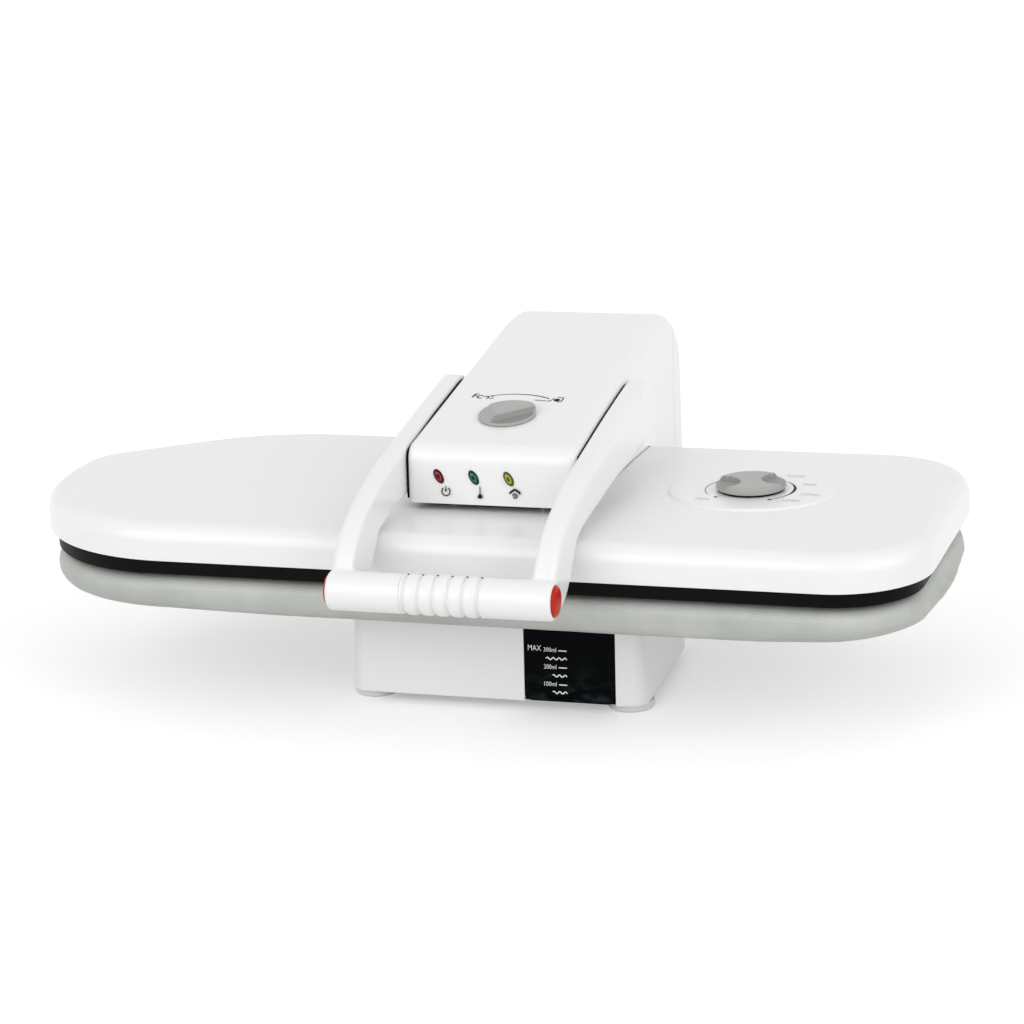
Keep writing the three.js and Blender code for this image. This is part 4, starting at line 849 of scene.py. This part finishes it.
dialKnob = {
    "top": 145.0, "scoop": 15.0, "scoopAt": 22.0, "turn": 20, "deep": 2.6, "slope": 1.6,
    "profile": [
        (0, 130.3), (4.0, 130.3), (4.0, 139.8), (21.4, 139.8), (23.6, 140.1), (24.0, 140.7), (24.0, 143.4),
        (23.8, 144.1), (23.3, 144.7), (22.6, 145.0),
    ],
    "collar": [(4.0, 138.7), (22.6, 138.7), (22.8, 139.0), (22.8, 139.7), (4.0, 139.7)],
    "paintedShadeFrom": 0.4, "paintedShadeRadius": 23.2,
}
panelKnob = {
    "top": 2.3, "rise": 3.3, "crest": ((-7.0, -16.0), (17.5, 2.6)), "front": (-1.6, 2.2),
    "left": (0.2, 0.16, 3.4), "bow": 3.4, "bowReach": 40.0, "fall": 0.72, "fallReach": 27.0,
    "profile": [
        (0, -2.6), (3.4, -2.6), (3.4, 0.3), (18.6, 0.3), (19.7, 0.4), (20.0, 0.7), (20.0, 1.5), (19.8, 1.9),
        (19.4, 2.2), (18.8, 2.3),
    ],
    "pointer": ((-2.6, 18.4), (2.0, 18.9), (1.4, 20.9), (-2.0, 20.6)), "pointerHeights": (0.7, 2.1),
    "paintedShadeFrom": (-1, 0.2), "paintedShadeRadius": 19,
}


# How far a place lies inside the rim of the nearer scoop
def scooped(x, y):
    turn = math.radians(dialKnob["turn"])
    u = x * math.cos(turn) + y * math.sin(turn)
    v = -x * math.sin(turn) + y * math.cos(turn)
    return dialKnob["scoop"] - min(math.hypot(u - sign * dialKnob["scoopAt"], v) for sign in (-1, 1))


def dialShape(x, y):
    return -dialKnob["deep"] * ease(scooped(x, y) / dialKnob["slope"])


# Distances along and behind the crest of the panel knob's grip
def crestPlace(x, y):
    (x0, y0), (x1, y1) = panelKnob["crest"]
    long = math.hypot(x1 - x0, y1 - y0)
    u = ((x - x0) * (x1 - x0) + (y - y0) * (y1 - y0)) / long
    v = ((y - y0) * (x1 - x0) - (x - x0) * (y1 - y0)) / long
    return u, v


# A wall along the crest, a bowed left edge, and a fall towards the back
def panelShape(x, y):
    u, v = crestPlace(x, y)
    frontFrom, frontOver = panelKnob["front"]
    leftFrom, lean, leftOver = panelKnob["left"]
    bowed = panelKnob["bow"] * math.sin(math.pi * min(max(v / panelKnob["bowReach"], 0.0), 1.0))
    front = ease((v - frontFrom) / frontOver)
    left = ease((u - leftFrom - lean * v - bowed) / leftOver)
    fall = 1 - panelKnob["fall"] * ease(v / panelKnob["fallReach"])
    return panelKnob["rise"] * front * left * fall


# Faces that look up get the darker grey where a test says so: painted shade in the dial's scoops and on the
# panel knob's grip face
def paintShade(obj, centre, inShade):
    obj.data.materials.append(finishes["shade"].owner)
    for face in obj.data.polygons:
        place = (face.center / mm - toFrame) - Vector(centre)
        if face.normal.z > -0.2 and inShade(place.x, place.y):
            face.material_index = 1


def dialPaintedShade(x, y):
    return scooped(x, y) > dialKnob["paintedShadeFrom"] and math.hypot(x, y) < dialKnob["paintedShadeRadius"]


def panelPaintedShade(x, y):
    u, v = crestPlace(x, y)
    lowU, highV = panelKnob["paintedShadeFrom"]
    return u > lowU and v < highV and math.hypot(x, y) < panelKnob["paintedShadeRadius"]


dialPiece = knob(dialKnob["profile"], dialKnob["top"], dialShape)
bmesh.ops.translate(dialPiece, verts=dialPiece.verts, vec=(*dialAt, 0))
dial = asObject(dialPiece, "heat_dial")
complete(dial, "grey", "heat_knob", ["thermostat_knob"], sharp=60)
paintShade(dial, (*dialAt, 0), dialPaintedShade)
# A black disc under the dial paints the dark shadow in the gap between knob and cover
collar = asObject(spun(dialKnob["collar"], "z", (*dialAt, 0.0), 96), "dial_shadow_disc")
complete(collar, "black", "heat_knob", ["thermostat_knob"])
pointer = skin([[(x, y, z) for x, y in panelKnob["pointer"]] for z in panelKnob["pointerHeights"]])
panelPiece = gathered(knob(panelKnob["profile"], panelKnob["top"], panelShape), pointer)
bmesh.ops.translate(panelPiece, verts=panelPiece.verts, vec=(*panel["knobAt"], 0))
selector = asObject(laid(panelPiece, panelPlace), "selector_dial")
complete(selector, "grey", "selector_knob", ["panel_knob"], sharp=60)
paintShade(selector, panelPlace @ Vector((*panel["knobAt"], 0)), panelPaintedShade)
print("knobs done")

# Base: the housing steps in behind the wide front part; the tank's window is open at its front
base = {
    "mid": 15.3, "half": 106.7, "front": -72, "back": 212, "taper": 6.4, "step": 66, "neck": 78.0,
    "path": [
        (0.3, 6.0), (0.0, 6.4), (3.0, 58.0), (3.4, 61.2), (4.4, 64.4), (6.0, 67.4), (8.2, 69.7),
        (10.6, 71.2), (13.5, 71.9), (17, 72.0),
    ],
    "inside": [(2.5, 0.0), (5.8, 55.2), (7.4, 61.7), (10.8, 66.8), (15.8, 69.2)],
    "window": [(36.8, 0, 1), (101.2, 0, 1), (101.2, 60, 3.5), (36.8, 60, 3.5)],
    "windowY": (-90.0, -60.0), "lean": 3.0 / 52.0, "bottom": 6.0,
    "inletX": (-42.7, -8.7), "inletY": (198, 220), "inletZ": (18.0, 44.0), "inletPad": 5.0, "padY": (203, 212),
    "hoseY": 153.5, "hoseHole": 8, "hoseZ": (60, 80),
}
feet = {
    "profile": [(0, 0), (13.4, 0), (15.0, 0.4), (15.8, 1.2), (16.0, 2.2), (16.0, 5.1), (15.6, 5.7), (0, 5.7)],
    "spots": {
        "front_left": (-75.9, -52), "front_right": (106.5, -52),
        "back_left": (-47.2, 190), "back_right": (77.8, 190),
    },
}


def basePlan():
    mid, half, neck, step = base["mid"], base["half"], base["neck"], base["step"]
    right = [
        (mid + half, base["front"], 14), (mid + half - base["taper"], step, 8), (mid + neck, step, 2.5),
        (mid + neck, base["back"], 14),
    ]
    left = [(2 * mid - x, y, radius) for x, y, radius in right[::-1]]
    return right + left


# The front leans back a little as it rises
def frontY(z):
    return base["front"] + base["lean"] * (z - base["bottom"])


housing = asObject(skin([planRing(basePlan(), *ring, steps=30) for ring in base["path"]]), "base_housing")
cut(housing, skin([planRing(basePlan(), *ring, steps=30) for ring in base["inside"]]))
window = rounded(base["window"], steps=18)
cut(housing, skin([[(x, y, z) for x, z in window] for y in base["windowY"]]))
pad = base["inletPad"]
padX, padZ = [(low - pad, high + pad) for low, high in (base["inletX"], base["inletZ"])]
fuse(housing, block(padX, base["padY"], padZ))
cut(housing, block(base["inletX"], base["inletY"], base["inletZ"]))
cut(housing, rod(base["hoseHole"], *base["hoseZ"], "z", (middle, base["hoseY"], 0.0)))
complete(housing, "white", "base", ["base_shell"], sharp=30)
for place, (x, y) in feet["spots"].items():
    foot = asObject(spun(feet["profile"], "z", (x, y, 0.0), 72), "foot_pad_" + place)
    complete(foot, "foot", "base", ["foot_" + place])
print("base done")


# Printed marks are thin ink laid just over the surfaces
def stroke(points, width):
    bm = bmesh.new()
    sides = ([], [])
    last = len(points) - 1
    for i, (u, v) in enumerate(points):
        before, after = points[max(i - 1, 0)], points[min(i + 1, last)]
        way = Vector((after[0] - before[0], after[1] - before[1])).normalized()
        half = (width(i / last) if callable(width) else width) / 2
        sides[0].append((u - way.y * half, v + way.x * half, 0.0))
        sides[1].append((u + way.y * half, v - way.x * half, 0.0))
    edges = [chain(bm, side, closed=False) for side in sides]
    bmesh.ops.bridge_loops(bm, edges=edges[0] + edges[1])
    return bm


def dot(u, v, radius):
    bm = bmesh.new()
    place = Matrix.Translation((u, v, 0))
    bmesh.ops.create_circle(bm, cap_ends=True, radius=radius, segments=20, matrix=place)
    return bm


# Points along an arc
def bow(u, v, radius, start, end, steps=40):
    angles = [math.radians(mix(start, end, k / steps)) for k in range(steps + 1)]
    return [(u + radius * math.cos(angle), v + radius * math.sin(angle)) for angle in angles]


# Lettering scaled to a height and a width
def letters(text, u, v, height, width, capital=0.7):
    curve = bpy.data.curves.new("letters", "FONT")
    curve.body = text
    curve.resolution_u = 3
    obj = bpy.data.objects.new("letters", curve)
    bpy.context.scene.collection.objects.link(obj)
    mesh = bpy.data.meshes.new_from_object(obj.evaluated_get(bpy.context.evaluated_depsgraph_get()))
    bm = bmesh.new()
    bm.from_mesh(mesh)
    bpy.data.objects.remove(obj)
    bpy.data.curves.remove(curve)
    bpy.data.meshes.remove(mesh)
    lowU = min(vert.co.x for vert in bm.verts)
    spanU = max(vert.co.x for vert in bm.verts) - lowU
    bmesh.ops.translate(bm, verts=bm.verts, vec=(-lowU, 0, 0))
    bmesh.ops.scale(bm, verts=bm.verts, vec=(width / spanU, height / capital, 1.0))
    bmesh.ops.translate(bm, verts=bm.verts, vec=(u, v, 0))
    return bm


# Strokes, arcs and dots of a symbol, placed from its own middle
def symbol(u, v, strokes=(), bows=(), dots=()):
    parts = [stroke([(u + x, v + y) for x, y in points], width) for points, width in strokes]
    parts += [stroke(bow(u + x, v + y, *arc), width) for (x, y, *arc), width in bows]
    return parts + [dot(u + x, v + y, radius) for x, y, radius in dots]


def inked(name, parts, place, finish, body, lift=0.12):
    bm = gathered(*parts)
    bmesh.ops.recalc_face_normals(bm, faces=bm.faces)
    down = [face for face in bm.faces if face.normal.z < 0]
    bmesh.ops.reverse_faces(bm, faces=down)
    bmesh.ops.translate(bm, verts=bm.verts, vec=(0, 0, lift))
    obj = asObject(laid(bm, place), name, outward=False)
    obj.data.materials.append(finishes[finish].owner)
    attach(obj, body)


icons = {
    "power": {
        "u": -14.6, "v": -10.1, "strokes": [([(0, 0.6), (0, 3.7)], 0.68)],
        "bows": [((0, 0, 2.9, 125, 415), 0.85)], "dots": [(0, 0.7, 0.75)],
    },
    "heat": {
        "u": 9.6, "v": -10.1, "dots": [(0, -2.5, 1.6)],
        "strokes": [([(0, -1.0), (0, 4.2)], 0.68), ([(-1.5, -3.6), (0, -0.4), (1.5, -3.6)], 0.85)],
    },
    "steam": {
        "u": 34.2, "v": -10.1, "bows": [((0, -1.2, 1.5, -150, 190), 0.765)], "dots": [(0, -1.2, 0.65)],
        "strokes": [
            ([(-3.7, 0.2), (-3.0, 1.3), (0, 3.4)], 1.445), ([(0, 3.4), (3.0, 1.3), (3.7, 0.2)], 1.445),
        ],
    },
}
iconParts = [part for icon in icons.values() for part in symbol(**icon)]
inked("front_icons", iconParts, facePlace, "darkInk", "head")

panelMarks = {
    "arc": (-6.0, -4.8, 45.8, 118.9, 60.2), "arcWidth": (0.65, 1.15),
    "hint": ([(7.3, 32.0), (15.6, 30.9)], 1.3),
    "left": {
        "u": -34.6, "v": 36.2, "bows": [((1.8, -1.8, 2.4, 60, 300), 1.0), ((5.6, -2.6, 2.0, -70, 150), 1.0)],
        "strokes": [
            ([(-4.2, -3.4), (-3.2, 2.8), (-0.6, 3.0)], 1.2), ([(-3.6, -0.4), (-1.2, 0.2)], 1.1),
            ([(8.6, -4.0), (11.6, -3.8)], 0.9), ([(8.8, -0.8), (11.0, -0.4)], 0.8),
        ],
    },
    "right": {
        "u": 22.2, "v": 35.6, "bows": [((0.6, -2.6, 1.9, 0, 360), 0.75)],
        "strokes": [
            ([(-6.0, -3.8), (-4.6, -5.4), (-1.8, 0.2)], 0.9), ([(-0.2, 2.2), (4.4, 1.8), (4.2, -5.0)], 0.9),
            ([(4.2, -5.0), (1.4, -6.0)], 0.9),
        ],
    },
}
panelArc = stroke(bow(*panelMarks["arc"]), lambda share: mix(*panelMarks["arcWidth"], share))
panelParts = [panelArc, *symbol(**panelMarks["left"]), *symbol(**panelMarks["right"])]
inked("panel_scale", panelParts, panelPlace, "darkInk", "head")
inked("panel_hint", [stroke(*panelMarks["hint"])], panelPlace, "greyInk", "head")

dialMarks = {
    "x": 177.3, "y": 11.7, "ring": 30.5, "left": (148, 214), "leftWidth": 0.7, "right": (45, -51),
    "rightWidth": (0.6, 1.5), "dots": ((30.5, -52), (29.5, 231)), "dotRadius": 1.3, "letterHeight": 5.2,
    "labels": {
        "NYLON": (18.0, 34.0, 12.0), "WOOL": (33.0, 14.4, 10.0), "COTTON": (36.6, -10.6, 13.0),
        "LINEN": (28.0, -26.4, 11.5), "MIN": (-31.0, -31.6, 9.0),
    },
}


def rightWidth(share):
    thin, more = dialMarks["rightWidth"]
    return thin + more * math.sin(math.pi * min(share * 1.2, 1)) ** 2


dialPlace = sheetPlace(dialMarks["x"], dialMarks["y"], dialBoss["top"], 0.0, 1.0)
dialParts = [stroke(bow(0, 0, dialMarks["ring"], *dialMarks["right"]), rightWidth)]
for reach, angle in dialMarks["dots"]:
    turn = math.radians(angle)
    dialParts.append(dot(reach * math.cos(turn), reach * math.sin(turn), dialMarks["dotRadius"]))
inked("dial_scale", dialParts, dialPlace, "darkInk", "head")
leftArc = stroke(bow(0, 0, dialMarks["ring"], *dialMarks["left"]), dialMarks["leftWidth"])
inked("dial_arc", [leftArc], dialPlace, "greyInk", "head")
labels = dialMarks["labels"].items()
settings = [letters(text, u, v, dialMarks["letterHeight"], width) for text, (u, v, width) in labels]
inked("dial_labels", settings, dialPlace, "paleInk", "head")

tankMarks = {
    "max": (39.9, 42.0, 3.9, 9.4), "levels": {"300ml": 41.6, "200ml": 29.7, "100ml": 17.7},
    "numberU": 51.0, "numberSize": (3.1, 8.8), "dash": (61.4, 67.2), "dashRise": 1.1, "dashWidth": 0.75,
    "waves": ((52.6, 37.0), (57.0, 25.0), (57.0, 13.3)), "waveHeight": 0.75, "waveBend": 1.55, "waveWidth": 0.8,
}
tankPlace = sheetPlace(0.0, frontY(0.0), 0.0, 1.0, base["lean"])
tankParts = [letters("MAX", *tankMarks["max"])]
for text, v in tankMarks["levels"].items():
    tankParts.append(letters(text, tankMarks["numberU"], v, *tankMarks["numberSize"]))
    dash = [(u, v + tankMarks["dashRise"]) for u in tankMarks["dash"]]
    tankParts.append(stroke(dash, tankMarks["dashWidth"]))
for start, v in tankMarks["waves"]:
    places = [mix(start, tankMarks["dash"][1], k / 48) for k in range(49)]
    wave = [(u, v + tankMarks["waveHeight"] * math.sin(u * tankMarks["waveBend"])) for u in places]
    tankParts.append(stroke(wave, tankMarks["waveWidth"]))
inked("tank_marks", tankParts, tankPlace, "whiteInk", "tank")
print("marks done")

# Studio: a pale floor, a white world and two broad soft lamps
studio = {
    "floor": (0.8, 0.8, 0.8), "floorLift": 0.36, "world": 0.69, "reach": 60.0,
    "lamps": {
        "front": {"towards": (0.45, 0.8, -0.42), "power": 0.9, "spread": 50},
        "side": {"towards": (-0.85, 0.35, -0.3), "power": 1.05, "spread": 60},
    },
}


# 1 for what the camera sees, straight or in gloss and glass
def seen(finish):
    kinds = ("Is Camera Ray", "Is Glossy Ray", "Is Transmission Ray")
    camera, glossy, through = [finish.node("LightPath", output=kind) for kind in kinds]
    return camera + glossy + through


floorShape = bmesh.new()
bmesh.ops.create_grid(floorShape, x_segments=1, y_segments=1, size=studio["reach"])
floorMesh = bpy.data.meshes.new("floor")
floorShape.to_mesh(floorMesh)
floorShape.free()
floor = bpy.data.objects.new("floor", floorMesh)
bpy.context.scene.collection.objects.link(floor)
floorFinish = newFinish("floor", "floor")
lifted = floorFinish.blend(seen(floorFinish), (0, 0, 0), [studio["floorLift"]] * 3)
floorFinish.paint(baseColor=studio["floor"], roughness=0.8, emissionColor=lifted, emissionStrength=1.0)
floor.data.materials.append(floorFinish.owner)
world = bpy.data.worlds.new("studio")
bpy.context.scene.world = world
sky = Finish(world)
skyColour = sky.blend(seen(sky), [studio["world"]] * 3, (1, 1, 1))
sky.feed(world.node_tree.nodes["Background"].inputs["Color"], skyColour)
for name, lamp in studio["lamps"].items():
    data = bpy.data.lights.new(name, "SUN")
    data.energy = lamp["power"]
    data.angle = math.radians(lamp["spread"])
    sun = bpy.data.objects.new(name, data)
    sun.rotation_euler = Vector(lamp["towards"]).to_track_quat("-Z", "Y").to_euler()
    bpy.context.scene.collection.objects.link(sun)

# The photo's view, with the eye in metres
view = {
    "eye": (0.6794, -2.0843, 0.7385), "right": (0.9536, 0.2980, -0.0427), "up": (-0.04285, 0.27458, 0.96061),
    "forward": (-0.29799, 0.91421, -0.27462), "lens": 115.3, "sensor": 36.0, "shift": (0.0136, 0.0071),
    "clip": (0.05, 200.0),
}
camera = bpy.data.cameras.new("camera")
camera.sensor_width = view["sensor"]
camera.lens = view["lens"]
camera.shift_x, camera.shift_y = view["shift"]
camera.clip_start, camera.clip_end = view["clip"]
eye = bpy.data.objects.new("camera", camera)
bpy.context.scene.collection.objects.link(eye)
axes = Matrix((Vector(view["right"]), Vector(view["up"]), -Vector(view["forward"]))).transposed().to_4x4()
eye.matrix_world = Matrix.Translation(Vector(view["eye"]) + toFrame * mm) @ axes
bpy.context.scene.camera = eye
bpy.context.scene.view_settings.view_transform = "Standard"
print("studio done")
